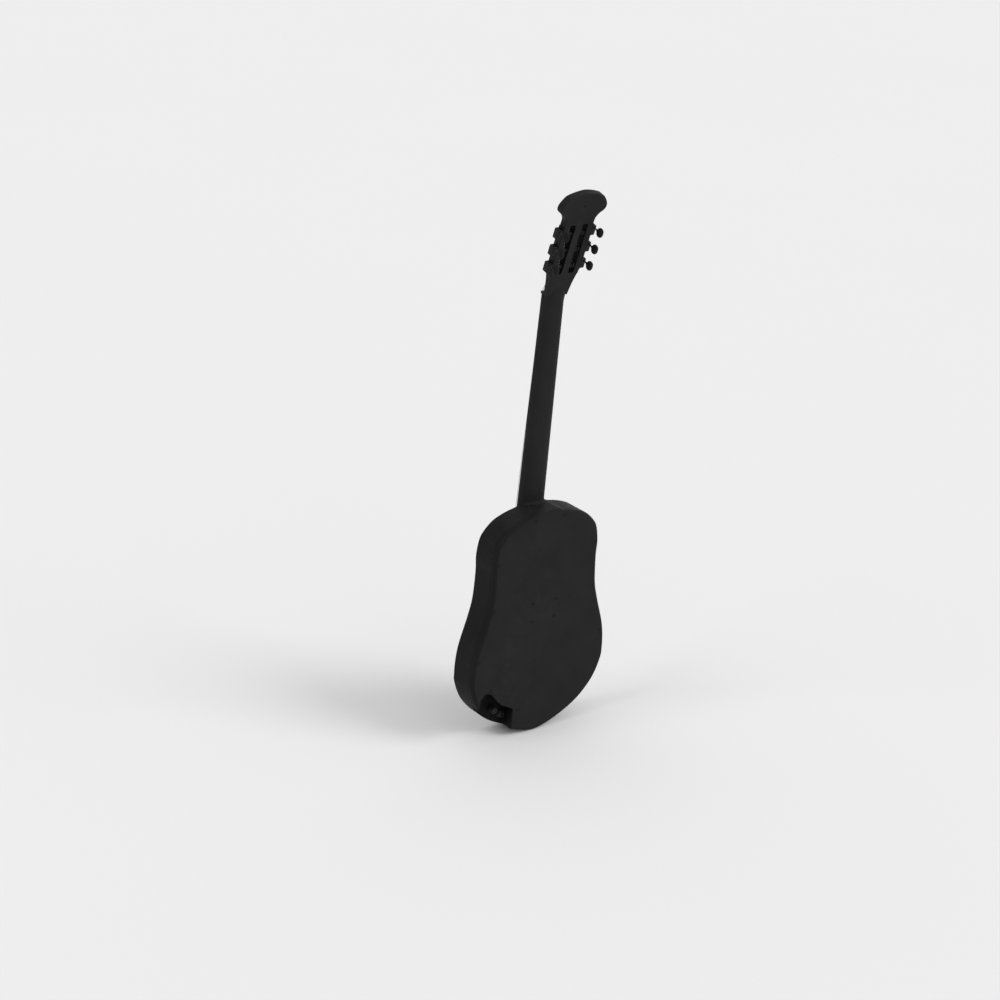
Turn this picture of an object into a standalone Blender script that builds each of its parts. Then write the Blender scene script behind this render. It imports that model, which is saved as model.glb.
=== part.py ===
"""Semi-acoustic guitar with a thin hollow body, a pitched neck and a slotted head.

Every named length is in millimetres and is turned into metres by MM.
+Z runs up the body from the tail, +Y points out of the back, +X is the treble side.
The origin lies on the flat at the tail, half way through the body's depth.
"""
import math

import bmesh
import bpy
from mathutils import Matrix, Vector

MM = 0.001
GAP = 0.3            # clearance between two neighbouring solids
PAST = 2.0           # how far a cutter runs past the face that it opens

# Body
BODY_L = 465.0       # tail to the top of the shoulders
BODY_D = 62.0        # soundboard face to back face
LOWER_HALF = 161.0   # half width of the lower bout
LOWER_Z = 150.0
WAIST_HALF = 124.5
WAIST_Z = 347.0
UPPER_HALF = 125.5
UPPER_Z = 380.0
TAIL_FLAT_HALF = 9.0
ROOT_FLAT_HALF = 22.0
# Shape of the outline between those places: shares of the way across and up
TAIL_SHAPE = [(0.302, 0.094), (0.624, 0.268), (0.865, 0.52), (0.987, 0.8)]
SIDE_SHAPE = [(0.15, 0.228), (0.658, 0.533), (0.904, 0.721)]
SHOULDER_SHAPE = [(0.053, 0.365), (0.15, 0.553), (0.314, 0.735), (0.488, 0.835), (0.662, 0.9),
                  (0.778, 0.929), (0.865, 0.953)]
OUTLINE_STEPS = 2    # facets between two of the outline's points

WALL_T = 4.0         # side wall
TOP_T = 3.0          # soundboard
SKIN_T = 3.0         # face of the back cover
COVER_D = 12.0       # depth of the back cover at its edge
COVER_R = 8.0
LEDGE_W = 16.0       # seat of the cover on the rim
LEDGE_T = 8.0
LINING_W = 10.0      # seat of the soundboard on the rim
LINING_T = 8.0
BLOCK_HALF = 42.6
TAIL_BLOCK_L = 20.0
BLOCK_MARGIN = 8.0   # neck block's wood below the tenon
BRACE_W = 9.0
BRACE_H = 14.0
BRACE_DROP = 18.0    # brace's middle below the soundhole's edge
HOLE_R = 44.0        # soundhole
HOLE_DROP = 95.0     # its middle below the body's top

# Screws in the back
SCREW_R = 1.5
SCREW_L = 18.0
SCREW_HEAD_R = 3.3
SCREW_HEAD_H = 1.9
SCREW_SOCKET_R = 1.3
SCREW_CLEAR = 0.3
SCREW_INSET = 8.6    # from the body's side
SIDE_SCREW_Z = [378.4, 284.5, 183.6]
NECK_SCREW_X = 34.6
NECK_SCREW_DROP = 12.0
BOWL_SCREW_PLACES = [(43.8, 115.0), (115.0, 56.5)]
TRAY_SCREW_X = 27.0
TRAY_SCREW_RISE = 18.9

# Recess for the socket and the knob, open where the treble side turns into the tail.
# Places in it are measured inward from the lower bout's side and up from the tail.
RECESS_D = 28.0
BOWL_T = 3.0
LUG_R = 13.0
OPEN_PAST = 12.0     # the recess's outline runs this far past the tail
RECESS_IN = 22.0
RECESS_W = 102.5
KNOB_IN = 69.0
KNOB_Z = 60.0
KNOB_R = 7.5
KNOB_H = 10.0
KNOB_CHAMFER = 1.2
GROOVES = 10
GROOVE_R = 0.6
POT_R = 8.5
POT_H = 9.0
POT_BASE_T = 1.5
POT_BUSH_R = 3.6
POT_BUSH_H = 4.0
SHAFT_R = 2.0
JACK_IN = 91.5
JACK_Z = 43.5
JACK_BORE_R = 3.175
JACK_BORE_L = 26.0
JACK_BODY_R = 7.5
JACK_BODY_H = 20.0
JACK_BUSH_R = 4.7
JACK_TOP_H = 10.0
JACK_NUT_R = 8.2
JACK_NUT_H = 5.0

# Preamp tray behind the four middle screws
TRAY_Z = 260.4
TRAY_HALF_X = 36.0
TRAY_HALF_Z = 29.0
TRAY_D = 21.0
BATTERY_X = 48.5
BATTERY_D = 17.5
BATTERY_Z = 26.5

# Neck
SCALE_L = 635.0
CLEAR_FRETS = 19
FRETS = 20
NECK_PITCH = math.radians(3.0)
BOARD_LIFT = 8.8     # fretboard face above the soundboard, at the top of the body
BOARD_T = 6.0
NUT_HALF = 22.0
ROOT_HALF = 27.3
NECK_T_NUT = 15.0    # wood under the fretboard at the nut
NECK_T_ROOT = 18.0
ROOT_FILLET = 9.0    # where the neck meets the body
SHOULDER_DROP = 4.0  # the fillet at the neck's sides ends this much lower than behind
ROOT_L = 34.0        # length of the root before the body's outline is cut from it
VOLUTE_RISE = 4.0
TENON_HALF = 14.0
TENON_L = 40.0
TENON_INSET = 2.0    # tenon behind the lining, and its end in the neck
TENON_COVER = 1.0    # wood of the root behind the tenon
FRET_W = 2.4
FRET_H = 1.0
FRET_INSET = 0.6
ROD_R = 3.0
ROD_END = 15.0       # wood left at each end of the truss rod's channel
NUT_L = 5.0
NUT_H = 8.7
NUT_SEAT_END = 3.0   # the nut's seat runs this far under the fretboard
NUT_SEAT_D = 0.2     # and is this deep in the neck's face
NUT_GROOVE_R = 0.9
NUT_STRING_H = 2.6   # string above the fretboard's face, at the nut and at the saddle
SADDLE_STRING_H = 4.5

# Head
HEAD_ANGLE = math.radians(18.0)
HEAD_T = 14.8
HEAD_HALF = 32.8
THROAT_BACK = 6.0    # the head's sides start this far below the nut
THROAT_OUT = 0.5     # and this far outside the neck's
FRONT_CUT_BELOW = 2.0  # the head's front face starts this far below the nut
HEAD_WIDE_S = 46.0   # they reach the head's width this far above it
EAR_START_S = 140.0
EAR_HALF = 51.0
EAR_S = 177.0
HEAD_PEAK = 210.5
THROAT_SHAPE = [(0.2, 0.31), (0.42, 0.56), (0.75, 0.81)]
EAR_SHAPE = [(0.022, 0.405), (0.34, 0.67), (0.78, 0.838)]
CROWN_SHAPE = [(0.004, 0.207), (0.149, 0.569), (0.373, 0.814)]
EAR_STEPS = 3
SLOT_X = 14.0
SLOT_HALF = 7.0
SLOT_BEFORE = 13.7   # slot past the first and the last roller
SLOT_AFTER = 20.3
SLOT_END_R = 5.0
HANG_HOLE_R = 1.6
HANG_HOLE_D = 3.0
HANG_HOLE_S = 184.0

# Tuners
TUNERS_A_SIDE = 3
TUNER_PITCH = 35.0
WORM_S = 64.2        # lowest worm, measured up the head from the nut
CENTRE_DIST = 8.5    # roller axis to worm axis
PLATE_T = 1.5
PLATE_MARGIN = 8.0
PLATE_INSET = 0.5
ROLLER_R = 5.0
ROLLER_NECK_R = 3.8
ROLLER_TIP_R = 3.0
ROLLER_TIP_X = 2.4
GEAR_R = 5.9
GEAR_TOOTH = 1.0
GEAR_T = 4.0
GEAR_TEETH = 14
WORM_R = 2.3
WORM_CORE_R = 1.7
WORM_OFF = 4.6       # worm axis outside the plate's outer face
WORM_TURNS = 3
HOUSING_X = 10.0
HOUSING_WALL = 1.2
HOUSING_INSET = 1.0
HOUSING_R = 1.4
WORM_END = 3.0       # housing left at each end of the worm
STEM_R = 1.6
STEM_IN_BUTTON = 4.0
BUTTON_RISE = 16.0   # button's middle behind the head's back face
BUTTON_L = 14.0
BUTTON_W = 18.0
BUTTON_T = 10.0

# Bridge and strings
BRIDGE_HALF = 88.0
BRIDGE_W = 30.0
BRIDGE_BACKSET = 5.0 # bridge's middle below the saddle
BRIDGE_WING_H = 9.0
BRIDGE_CORE_HALF = 42.0
BRIDGE_CORE_H = 15.0
BRIDGE_R = 2.0
CORE_R = 1.5
SADDLE_HALF = 38.0
SADDLE_T = 2.8
SADDLE_SEAT_D = 9.0
PIEZO_T = 1.4
PLATE_UNDER_T = 2.5
TROUGH_DROP = 9.0    # trough's middle below the saddle
TROUGH_W = 7.0
TROUGH_D = 6.0
TIE_DEPTH = 4.0      # string holes below the core's top
TIE_HOLE_R = 1.1
STRING_SPAN_BRIDGE = 58.0
STRING_SPAN_NUT = 36.0
STRING_R = [0.55, 0.45, 0.40, 0.50, 0.42, 0.36]
WOUND_STRINGS = 3
WRAP_TURNS = 2
WRAP_POINTS = 20
WRAP_PITCH = 1.7
WRAP_START = math.radians(-100)

FRONT_Y = -BODY_D / 2
BACK_Y = BODY_D / 2
RIM_FRONT_Y = FRONT_Y + TOP_T + GAP
COVER_Y = BACK_Y - COVER_D
RIM_BACK_Y = COVER_Y - GAP
LEDGE_Y = RIM_BACK_Y - LEDGE_T
LINING_Y = RIM_FRONT_Y + LINING_T
UNDER_SKIN_Y = BACK_Y - SKIN_T - GAP
FLOOR_Y = BACK_Y - RECESS_D
SCREW_TIP_Y = BACK_Y - SCREW_L
NECK_L = SCALE_L * (1 - 2 ** (-CLEAR_FRETS / 12))
ROOT_Y = FRONT_Y - BOARD_LIFT
BRIDGE_Y = FRONT_Y - GAP
TIE_Y = BRIDGE_Y - BRIDGE_CORE_H + TIE_DEPTH
PLATE_X = HEAD_HALF + GAP
GEAR_X = PLATE_X + PLATE_T
ROLLER_S = [WORM_S - CENTRE_DIST + TUNER_PITCH * i for i in range(TUNERS_A_SIDE)]
SLOT_LO = ROLLER_S[0] - SLOT_BEFORE
SLOT_HI = ROLLER_S[-1] + SLOT_AFTER

HOLE_Z = BODY_L - HOLE_DROP
BRACE_Z = HOLE_Z - HOLE_R - BRACE_DROP
KNOB_X = LOWER_HALF - KNOB_IN
JACK_X = LOWER_HALF - JACK_IN
BOWL_SCREWS = [(LOWER_HALF - inward, z) for inward, z in BOWL_SCREW_PLACES]

# Corners of the recess with the radius of each, anticlockwise from its near side
RECESS_CORNERS = [((RECESS_IN, 100.0), 6.0), ((34.5, 112.5), 9.0), ((48.5, 106.0), 12.0),
                  ((71.0, 79.0), 26.0), ((RECESS_W, 62.0), 5.0), ((RECESS_W, -OPEN_PAST), 0.0),
                  ((RECESS_IN, -OPEN_PAST), 0.0)]

# Colour, roughness and metallic value of each kind of material
LOOKS = {
    "shell": ((0.022, 0.022, 0.024), 0.45, 0.0),
    "inner": ((0.09, 0.07, 0.05), 0.7, 0.0),
    "board": ((0.016, 0.014, 0.013), 0.5, 0.0),
    "steel": ((0.32, 0.32, 0.33), 0.35, 1.0),
    "black_metal": ((0.03, 0.03, 0.032), 0.4, 0.6),
    "bone": ((0.75, 0.72, 0.64), 0.4, 0.0),
    "button": ((0.012, 0.012, 0.013), 0.3, 0.0),
    "brass": ((0.55, 0.42, 0.18), 0.35, 1.0),
    "nylon": ((0.7, 0.7, 0.66), 0.3, 0.0),
    "wound": ((0.5, 0.47, 0.42), 0.35, 0.8),
}


def clear_scene():
    """Remove every object that the file starts with."""
    for obj in list(bpy.data.objects):
        bpy.data.objects.remove(obj)


def collection(name):
    """Make a collection in the scene."""
    made = bpy.data.collections.new(name)
    bpy.context.scene.collection.children.link(made)
    return made


def material(name, kind):
    """Principled material of one kind, named for its part."""
    color, rough, metal = LOOKS[kind]
    mat = bpy.data.materials.new(name)
    mat.use_nodes = True
    shader = mat.node_tree.nodes["Principled BSDF"]
    shader.inputs["Base Color"].default_value = (*color, 1.0)
    shader.inputs["Roughness"].default_value = rough
    shader.inputs["Metallic"].default_value = metal
    mat.diffuse_color = (*color, 1.0)
    return mat


def link(obj, target):
    """Move an object into one collection."""
    for held in list(obj.users_collection):
        held.objects.unlink(obj)
    target.objects.link(obj)


def finish(obj, name, kind, smooth=False):
    """Name a piece, give it its material and put it among the parts."""
    obj.name = name
    obj.data.name = name
    obj.data.materials.clear()
    obj.data.materials.append(material(name, kind))
    link(obj, PARTS)
    if smooth:
        obj.data.shade_smooth()
        obj.data.set_sharp_from_angle(angle=math.radians(35))


def mesh_object(name, bm, matrix=None):
    """Object from a bmesh, placed by a frame."""
    bmesh.ops.recalc_face_normals(bm, faces=bm.faces)
    mesh = bpy.data.meshes.new(name)
    bm.to_mesh(mesh)
    bm.free()
    obj = bpy.data.objects.new(name, mesh)
    PARTS.objects.link(obj)
    if matrix is not None:
        obj.matrix_world = matrix
    return obj


def weld(mesh, distance):
    """Join doubled points and turn every face outward."""
    bm = bmesh.new()
    bm.from_mesh(mesh)
    bmesh.ops.remove_doubles(bm, verts=bm.verts, dist=distance)
    bmesh.ops.recalc_face_normals(bm, faces=bm.faces)
    bm.to_mesh(mesh)
    bm.free()


def evaluated(obj):
    """Copy of an object's mesh with its modifiers or its curve worked out."""
    bpy.context.view_layer.update()
    graph = bpy.context.evaluated_depsgraph_get()
    return bpy.data.meshes.new_from_object(obj.evaluated_get(graph))


def curve_mesh(curve_obj):
    """Turn a curve object into a mesh object with welded caps."""
    mesh = evaluated(curve_obj)
    weld(mesh, 1e-6)
    obj = bpy.data.objects.new(curve_obj.name, mesh)
    PARTS.objects.link(obj)
    obj.matrix_world = curve_obj.matrix_world
    bpy.data.objects.remove(curve_obj)
    return obj


def bake(obj):
    """Apply an object's modifiers."""
    mesh = evaluated(obj)
    weld(mesh, 1e-7)
    obj.modifiers.clear()
    obj.data = mesh
    return obj


def boolean(obj, cutter, operation="DIFFERENCE"):
    """Cut, join or clip with another solid, which is then removed."""
    modifier = obj.modifiers.new("cut", "BOOLEAN")
    modifier.operation = operation
    modifier.object = cutter
    modifier.solver = "EXACT"
    cutter.hide_render = True
    cutter.display_type = "WIRE"
    link(cutter, CUTTERS)
    bake(obj)
    bpy.data.objects.remove(cutter)


def bevel(obj, width, segments=2):
    """Round the sharp edges."""
    modifier = obj.modifiers.new("round", "BEVEL")
    modifier.width = width * MM
    modifier.segments = segments
    modifier.limit_method = "ANGLE"
    modifier.angle_limit = math.radians(40)
    return bake(obj)


def plate(name, loops, low, high, matrix):
    """Flat outline with holes, extruded from low to high along the frame's third axis."""
    curve = bpy.data.curves.new(name, "CURVE")
    curve.dimensions = "2D"
    curve.fill_mode = "BOTH"
    curve.extrude = (high - low) / 2 * MM
    for loop in loops:
        spline = curve.splines.new("POLY")
        spline.points.add(len(loop) - 1)
        for point, (u, v) in zip(spline.points, loop):
            point.co = (u * MM, v * MM, 0.0, 1.0)
        spline.use_cyclic_u = True
    obj = bpy.data.objects.new(name, curve)
    PARTS.objects.link(obj)
    obj.matrix_world = matrix @ Matrix.Translation((0.0, 0.0, (low + high) / 2 * MM))
    return curve_mesh(obj)


def body_plate(name, loops, low_y, high_y):
    """Plate in the body's outline plane between two depths."""
    return plate(name, loops, -high_y, -low_y, OUTLINE_TURN)


def box(name, size, centre, matrix=None):
    """Box from a cube primitive."""
    bm = bmesh.new()
    bmesh.ops.create_cube(bm, size=1.0)
    bmesh.ops.scale(bm, verts=bm.verts, vec=Vector(size) * MM)
    frame = Matrix.Identity(4) if matrix is None else matrix
    return mesh_object(name, bm, frame @ Matrix.Translation(Vector(centre) * MM))


def cylinder(name, radius, low, high, sides, matrix):
    """Round bar along the frame's third axis."""
    bm = bmesh.new()
    bmesh.ops.create_cone(bm, cap_ends=True, segments=sides, radius1=radius * MM,
                          radius2=radius * MM, depth=(high - low) * MM)
    return mesh_object(name, bm, matrix @ Matrix.Translation((0, 0, (low + high) / 2 * MM)))


def turned(name, profile, sides, matrix):
    """Profile of radius and height pairs, from axis to axis, turned about the third axis."""
    bm = bmesh.new()
    verts = [bm.verts.new((radius * MM, 0.0, height * MM)) for radius, height in profile]
    for lower, upper in zip(verts[:-1], verts[1:]):
        bm.edges.new((lower, upper))
    obj = mesh_object(name, bm, matrix)
    screw = obj.modifiers.new("turn", "SCREW")
    screw.axis = "Z"
    screw.steps = sides
    screw.render_steps = sides
    screw.use_merge_vertices = True
    screw.merge_threshold = 0.00001
    return bake(obj)


def tube(name, points, radius):
    """Round wire through points in millimetres."""
    curve = bpy.data.curves.new(name, "CURVE")
    curve.dimensions = "3D"
    curve.bevel_depth = radius * MM
    curve.bevel_resolution = 1
    curve.use_fill_caps = True
    spline = curve.splines.new("POLY")
    spline.points.add(len(points) - 1)
    for point, place in zip(spline.points, points):
        point.co = (*(Vector(place) * MM), 1.0)
    obj = bpy.data.objects.new(name, curve)
    PARTS.objects.link(obj)
    return curve_mesh(obj)


def loft(name, sections):
    """Closed solid through unlike closed sections that have the same number of points."""
    bm = bmesh.new()
    rings = [[bm.verts.new(place * MM) for place in section] for section in sections]
    for lower, upper in zip(rings[:-1], rings[1:]):
        for i, start in enumerate(lower):
            j = (i + 1) % len(lower)
            bm.faces.new((start, lower[j], upper[j], upper[i]))
    bm.faces.new(rings[0][::-1])
    bm.faces.new(rings[-1])
    return mesh_object(name, bm)


def catmull(points, steps):
    """Closed smooth outline through a few points."""
    out = []
    count = len(points)
    for i in range(count):
        p0, p1, p2, p3 = (Vector(points[(i + k - 1) % count]) for k in range(4))
        for step in range(steps):
            t = step / steps
            bend = (2 * p0 - 5 * p1 + 4 * p2 - p3) * t * t + (3 * p1 - p0 - 3 * p2 + p3) * t ** 3
            out.append(tuple(0.5 * (2 * p1 + (p2 - p0) * t + bend)))
    return out


def between(start, end, shape):
    """Points at given shares of the way across and up from one place to another."""
    return [(start[0] + (end[0] - start[0]) * across, start[1] + (end[1] - start[1]) * up)
            for across, up in shape]


def mirrored(right):
    """The same points on the other side, in the opposite order."""
    return [(-x, z) for x, z in reversed(right)]


def loop_distance(place, loop):
    """Least distance from a place to the edges of a closed loop."""
    best = math.inf
    for start, end in zip(loop, loop[1:] + loop[:1]):
        edge = Vector(end) - Vector(start)
        share = (place - Vector(start)).dot(edge) / max(edge.length_squared, 1e-12)
        nearest = Vector(start) + edge * min(1.0, max(0.0, share))
        best = min(best, (place - nearest).length)
    return best


def offset(loop, distance):
    """Anticlockwise loop moved outward, without the points that the move would fold over."""
    out = []
    for i, place in enumerate(loop):
        here = Vector(place)
        first = (here - Vector(loop[i - 1])).normalized()
        second = (Vector(loop[(i + 1) % len(loop)]) - here).normalized()
        side = Vector((first.y, -first.x))
        normal = (side + Vector((second.y, -second.x))).normalized()
        moved = here + normal * distance / max(0.5, normal.dot(side))
        if loop_distance(moved, loop) > abs(distance) - 0.05:
            out.append(tuple(moved))
    return out


def rounded(corners, steps):
    """Polygon whose corners, given with a radius each, are rounded by arcs."""
    out = []
    for i, (corner, radius) in enumerate(corners):
        here = Vector(corner)
        if radius == 0:
            out.append(corner)
            continue
        to_before = (Vector(corners[i - 1][0]) - here).normalized()
        to_after = (Vector(corners[(i + 1) % len(corners)][0]) - here).normalized()
        half = to_before.angle(to_after) / 2
        start = here + to_before * radius / math.tan(half)
        end = here + to_after * radius / math.tan(half)
        centre = here + (to_before + to_after).normalized() * radius / math.sin(half)
        sweep = (start - centre).angle_signed(end - centre)
        for step in range(steps + 1):
            turn = Matrix.Rotation(-sweep * step / steps, 2)
            out.append(tuple(centre + turn @ (start - centre)))
    return out


def circle(centre, radius, sides):
    """Points round a circle, anticlockwise."""
    angles = [2 * math.pi * i / sides for i in range(sides)]
    return [(centre[0] + radius * math.cos(a), centre[1] + radius * math.sin(a)) for a in angles]


def body_outline(grow=0.0):
    """Outline of the body, anticlockwise from the tail, grown outward or drawn in."""
    tail = (TAIL_FLAT_HALF, 0.0)
    lower = (LOWER_HALF, LOWER_Z)
    waist = (WAIST_HALF, WAIST_Z)
    upper = (UPPER_HALF, UPPER_Z)
    top = (ROOT_FLAT_HALF, BODY_L)
    right = [tail, *between(tail, lower, TAIL_SHAPE), lower, *between(lower, waist, SIDE_SHAPE),
             waist, upper, *between(upper, top, SHOULDER_SHAPE), top]
    points = right + mirrored(right)
    flats = (len(right) - 1, len(points) - 1)
    curved = catmull(points, OUTLINE_STEPS)
    loop = [place for i, place in enumerate(curved)
            if i // OUTLINE_STEPS not in flats or i % OUTLINE_STEPS == 0]
    return offset(loop, grow) if grow else loop


def half_width(z):
    """Half width of the body at a height."""
    widest = 0.0
    loop = body_outline()
    for (x0, z0), (x1, z1) in zip(loop, loop[1:]):
        if min(z0, z1) <= z <= max(z0, z1) and z0 != z1:
            widest = max(widest, x0 + (x1 - x0) * (z - z0) / (z1 - z0))
    return widest


def back_axis(x, z, y):
    """Frame at a place in the body whose third axis points out of the back."""
    return Matrix.Translation(Vector((x, y, z)) * MM) @ Matrix.Rotation(-math.pi / 2, 4, "X")


def edge_screws():
    """Places of the cover's screws: along the sides, below the neck and by the recess."""
    sides = [(side * (half_width(z) - SCREW_INSET), z) for z in SIDE_SCREW_Z for side in (-1, 1)]
    blocks = [(side * NECK_SCREW_X, BODY_L - NECK_SCREW_DROP) for side in (-1, 1)]
    return sides + blocks + BOWL_SCREWS


def tray_screws():
    """Places of the four screws that hold the tray."""
    return [(across * TRAY_SCREW_X, TRAY_Z + up * TRAY_SCREW_RISE)
            for across in (-1, 1) for up in (-1, 1)]


def screw_holes(places, radius, low_y, high_y):
    """One cutter that holds a round bar at each screw."""
    bm = bmesh.new()
    for x, z in places:
        bmesh.ops.create_cone(bm, cap_ends=True, segments=8, radius1=radius * MM,
                              radius2=radius * MM, depth=(high_y - low_y) * MM,
                              matrix=back_axis(x, z, (low_y + high_y) / 2))
    return mesh_object("screw_holes", bm)


def shank_holes(places, high_y):
    """Cutter for screw shanks, from below their tips up to a depth."""
    return screw_holes(places, SCREW_R + SCREW_CLEAR, SCREW_TIP_Y - 1, high_y)


def recess_loop(grow=0.0):
    """Outline of the recess in the back, grown outward by a distance."""
    corners = [((LOWER_HALF - inward, z), radius) for (inward, z), radius in RECESS_CORNERS]
    loop = rounded(corners, 4)
    return offset(loop, grow) if grow else loop


def make_rim():
    """Side wall with the seats for soundboard and cover, opened for neck and recess."""
    rim = body_plate("body_rim", [body_outline()], RIM_FRONT_Y, RIM_BACK_Y)
    for inset, low, high in ((LINING_W, RIM_FRONT_Y - PAST, LINING_Y),
                             (WALL_T, LINING_Y - PAST, LEDGE_Y),
                             (LEDGE_W, LEDGE_Y - PAST, RIM_BACK_Y + PAST)):
        boolean(rim, body_plate("hollow", [body_outline(-inset)], low, high))
    boolean(rim, body_plate("recess_cut", [recess_loop(BOWL_T + GAP)], FLOOR_Y - BOWL_T - GAP,
                            RIM_BACK_Y + PAST))
    boolean(rim, tenon_box("tenon_cut", GAP))
    boolean(rim, shank_holes(edge_screws(), RIM_BACK_Y + PAST))
    finish(rim, "body_rim", "shell", smooth=True)


def make_soundboard():
    """Flat front with its round soundhole."""
    loops = [body_outline(), circle((0, HOLE_Z), HOLE_R, 32)]
    board = body_plate("soundboard", loops, FRONT_Y, FRONT_Y + TOP_T)
    finish(board, "soundboard", "shell", smooth=True)


def round_back_edge(cover):
    """Round the cover's outer edge at the back."""
    bm = bmesh.new()
    bm.from_mesh(cover.data)
    # The cap has to be one face, or the width of the rounding is held back by its inner edges
    flat = [edge for edge in bm.edges if edge.calc_face_angle(1.0) < 0.01]
    bmesh.ops.dissolve_edges(bm, edges=flat)
    weight = bm.edges.layers.float.new("bevel_weight_edge")
    for edge in bm.edges:
        lowest = min((cover.matrix_world @ vert.co).y for vert in edge.verts)
        if lowest > (BACK_Y - GAP) * MM:
            edge[weight] = float(abs(edge.calc_face_angle(0.0)) > 0.5)
    bm.to_mesh(cover.data)
    bm.free()
    modifier = cover.modifiers.new("round", "BEVEL")
    modifier.limit_method = "WEIGHT"
    modifier.width = COVER_R * MM
    modifier.segments = 3
    bake(cover)


def make_cover():
    """Back cover: a rounded cap with a broad seat, screw holes and the recess."""
    cover = body_plate("back_cover", [body_outline()], COVER_Y, BACK_Y)
    round_back_edge(cover)
    boolean(cover, body_plate("hollow", [body_outline(-LEDGE_W)], COVER_Y - PAST, BACK_Y - SKIN_T))
    boolean(cover, body_plate("recess_cut", [recess_loop()], COVER_Y - PAST, BACK_Y + PAST))
    boolean(cover, body_plate("bowl_cut", [recess_loop(BOWL_T + GAP)], COVER_Y - PAST,
                              UNDER_SKIN_Y + GAP))
    places = edge_screws() + tray_screws()
    boolean(cover, shank_holes(places, BACK_Y + PAST))
    boolean(cover, screw_holes(places, SCREW_HEAD_R + SCREW_CLEAR, BACK_Y - SCREW_HEAD_H - GAP,
                               BACK_Y + PAST))
    finish(cover, "back_cover", "shell", smooth=True)


def make_bowl():
    """Moulded tray that lines the recess, with screw lugs, a socket hole and a knob hole."""
    bowl = body_plate("jack_bowl", [recess_loop(BOWL_T)], FLOOR_Y - BOWL_T, UNDER_SKIN_Y)
    for place in BOWL_SCREWS:
        lug = body_plate("lug", [circle(place, LUG_R, 12)], UNDER_SKIN_Y - BOWL_T, UNDER_SKIN_Y)
        boolean(bowl, lug, "UNION")
    boolean(bowl, body_plate("bowl_space", [recess_loop()], FLOOR_Y, BACK_Y))
    boolean(bowl, body_plate("bowl_clip", [body_outline(-GAP)],
                             FLOOR_Y - BOWL_T - PAST, BACK_Y), "INTERSECT")
    boolean(bowl, shank_holes(BOWL_SCREWS, BACK_Y))
    for x, z, radius in ((KNOB_X, KNOB_Z, POT_BUSH_R), (JACK_X, JACK_Z, JACK_BUSH_R)):
        boolean(bowl, cylinder("hole", radius + GAP, -BOWL_T - PAST, PAST, 20,
                               back_axis(x, z, FLOOR_Y)))
    finish(bowl, "jack_bowl", "black_metal", smooth=True)


def make_jack():
    """Output socket: body under the floor, bushing through it and nut above, with its bore."""
    frame = back_axis(JACK_X, JACK_Z, FLOOR_Y)
    under = -BOWL_T - GAP
    profile = [(0.0, JACK_TOP_H), (JACK_BUSH_R, JACK_TOP_H), (JACK_BUSH_R, under),
               (JACK_BODY_R, under), (JACK_BODY_R, under - JACK_BODY_H), (0.0, under - JACK_BODY_H)]
    jack = turned("output_jack", profile, 20, frame)
    boolean(jack, cylinder("nut", JACK_NUT_R, GAP, GAP + JACK_NUT_H, 6, frame), "UNION")
    boolean(jack, cylinder("bore", JACK_BORE_R, JACK_TOP_H - JACK_BORE_L, JACK_TOP_H + PAST, 20,
                           frame))
    finish(jack, "output_jack", "steel", smooth=True)


def make_pot():
    """Volume control under the floor, with its threaded bushing and a bore for the shaft."""
    frame = back_axis(KNOB_X, KNOB_Z, FLOOR_Y)
    under = -BOWL_T - GAP
    profile = [(0.0, POT_BUSH_H), (POT_BUSH_R, POT_BUSH_H), (POT_BUSH_R, under), (POT_R, under),
               (POT_R, under - POT_H), (0.0, under - POT_H)]
    pot = turned("volume_pot", profile, 20, frame)
    boolean(pot, cylinder("bore", SHAFT_R + GAP, under - POT_H + POT_BASE_T, POT_BUSH_H + PAST, 16,
                          frame))
    finish(pot, "volume_pot", "steel", smooth=True)


def make_knob():
    """Knob with its shaft, a pointer groove and a grooved skirt."""
    frame = back_axis(KNOB_X, KNOB_Z, FLOOR_Y)
    low = POT_BUSH_H + GAP
    high = low + KNOB_H
    shaft_low = POT_BASE_T - BOWL_T - POT_H
    profile = [(0.0, high), (KNOB_R - KNOB_CHAMFER, high), (KNOB_R, high - KNOB_CHAMFER),
               (KNOB_R, low), (SHAFT_R, low), (SHAFT_R, shaft_low), (0.0, shaft_low)]
    knob = turned("volume_knob", profile, 20, frame)
    for index in range(GROOVES):
        around = Matrix.Rotation(2 * math.pi * index / GROOVES, 4, "Z")
        spot = frame @ around @ Matrix.Translation((KNOB_R * MM, 0, 0))
        boolean(knob, cylinder("groove", GROOVE_R, low + KNOB_CHAMFER, high + 1, 6, spot))
    groove = 2 * GROOVE_R
    boolean(knob, box("pointer", (KNOB_R, groove, groove), (KNOB_R / 2, 0, high), frame))
    finish(knob, "volume_knob", "button", smooth=True)


def block(name, low_z, high_z, low_y, high_y):
    """Wood block as wide as its named half, clipped to the body's inside."""
    made = box(name, (2 * BLOCK_HALF, high_y - low_y, high_z - low_z),
               (0, (low_y + high_y) / 2, (low_z + high_z) / 2))
    boolean(made, body_plate("clip", [body_outline(-WALL_T - GAP)], low_y - PAST, high_y + PAST),
            "INTERSECT")
    return made


def make_blocks():
    """Neck block with its mortise, and the tail block."""
    low = LINING_Y + GAP
    high = LEDGE_Y - GAP
    neck_block = block("neck_block", BODY_L - TENON_L - BLOCK_MARGIN, BODY_L, low, high)
    boolean(neck_block, tenon_box("mortise", GAP))
    finish(neck_block, "neck_block", "inner")
    finish(block("tail_block", 0.0, WALL_T + TAIL_BLOCK_L, low, high), "tail_block", "inner")


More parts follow.
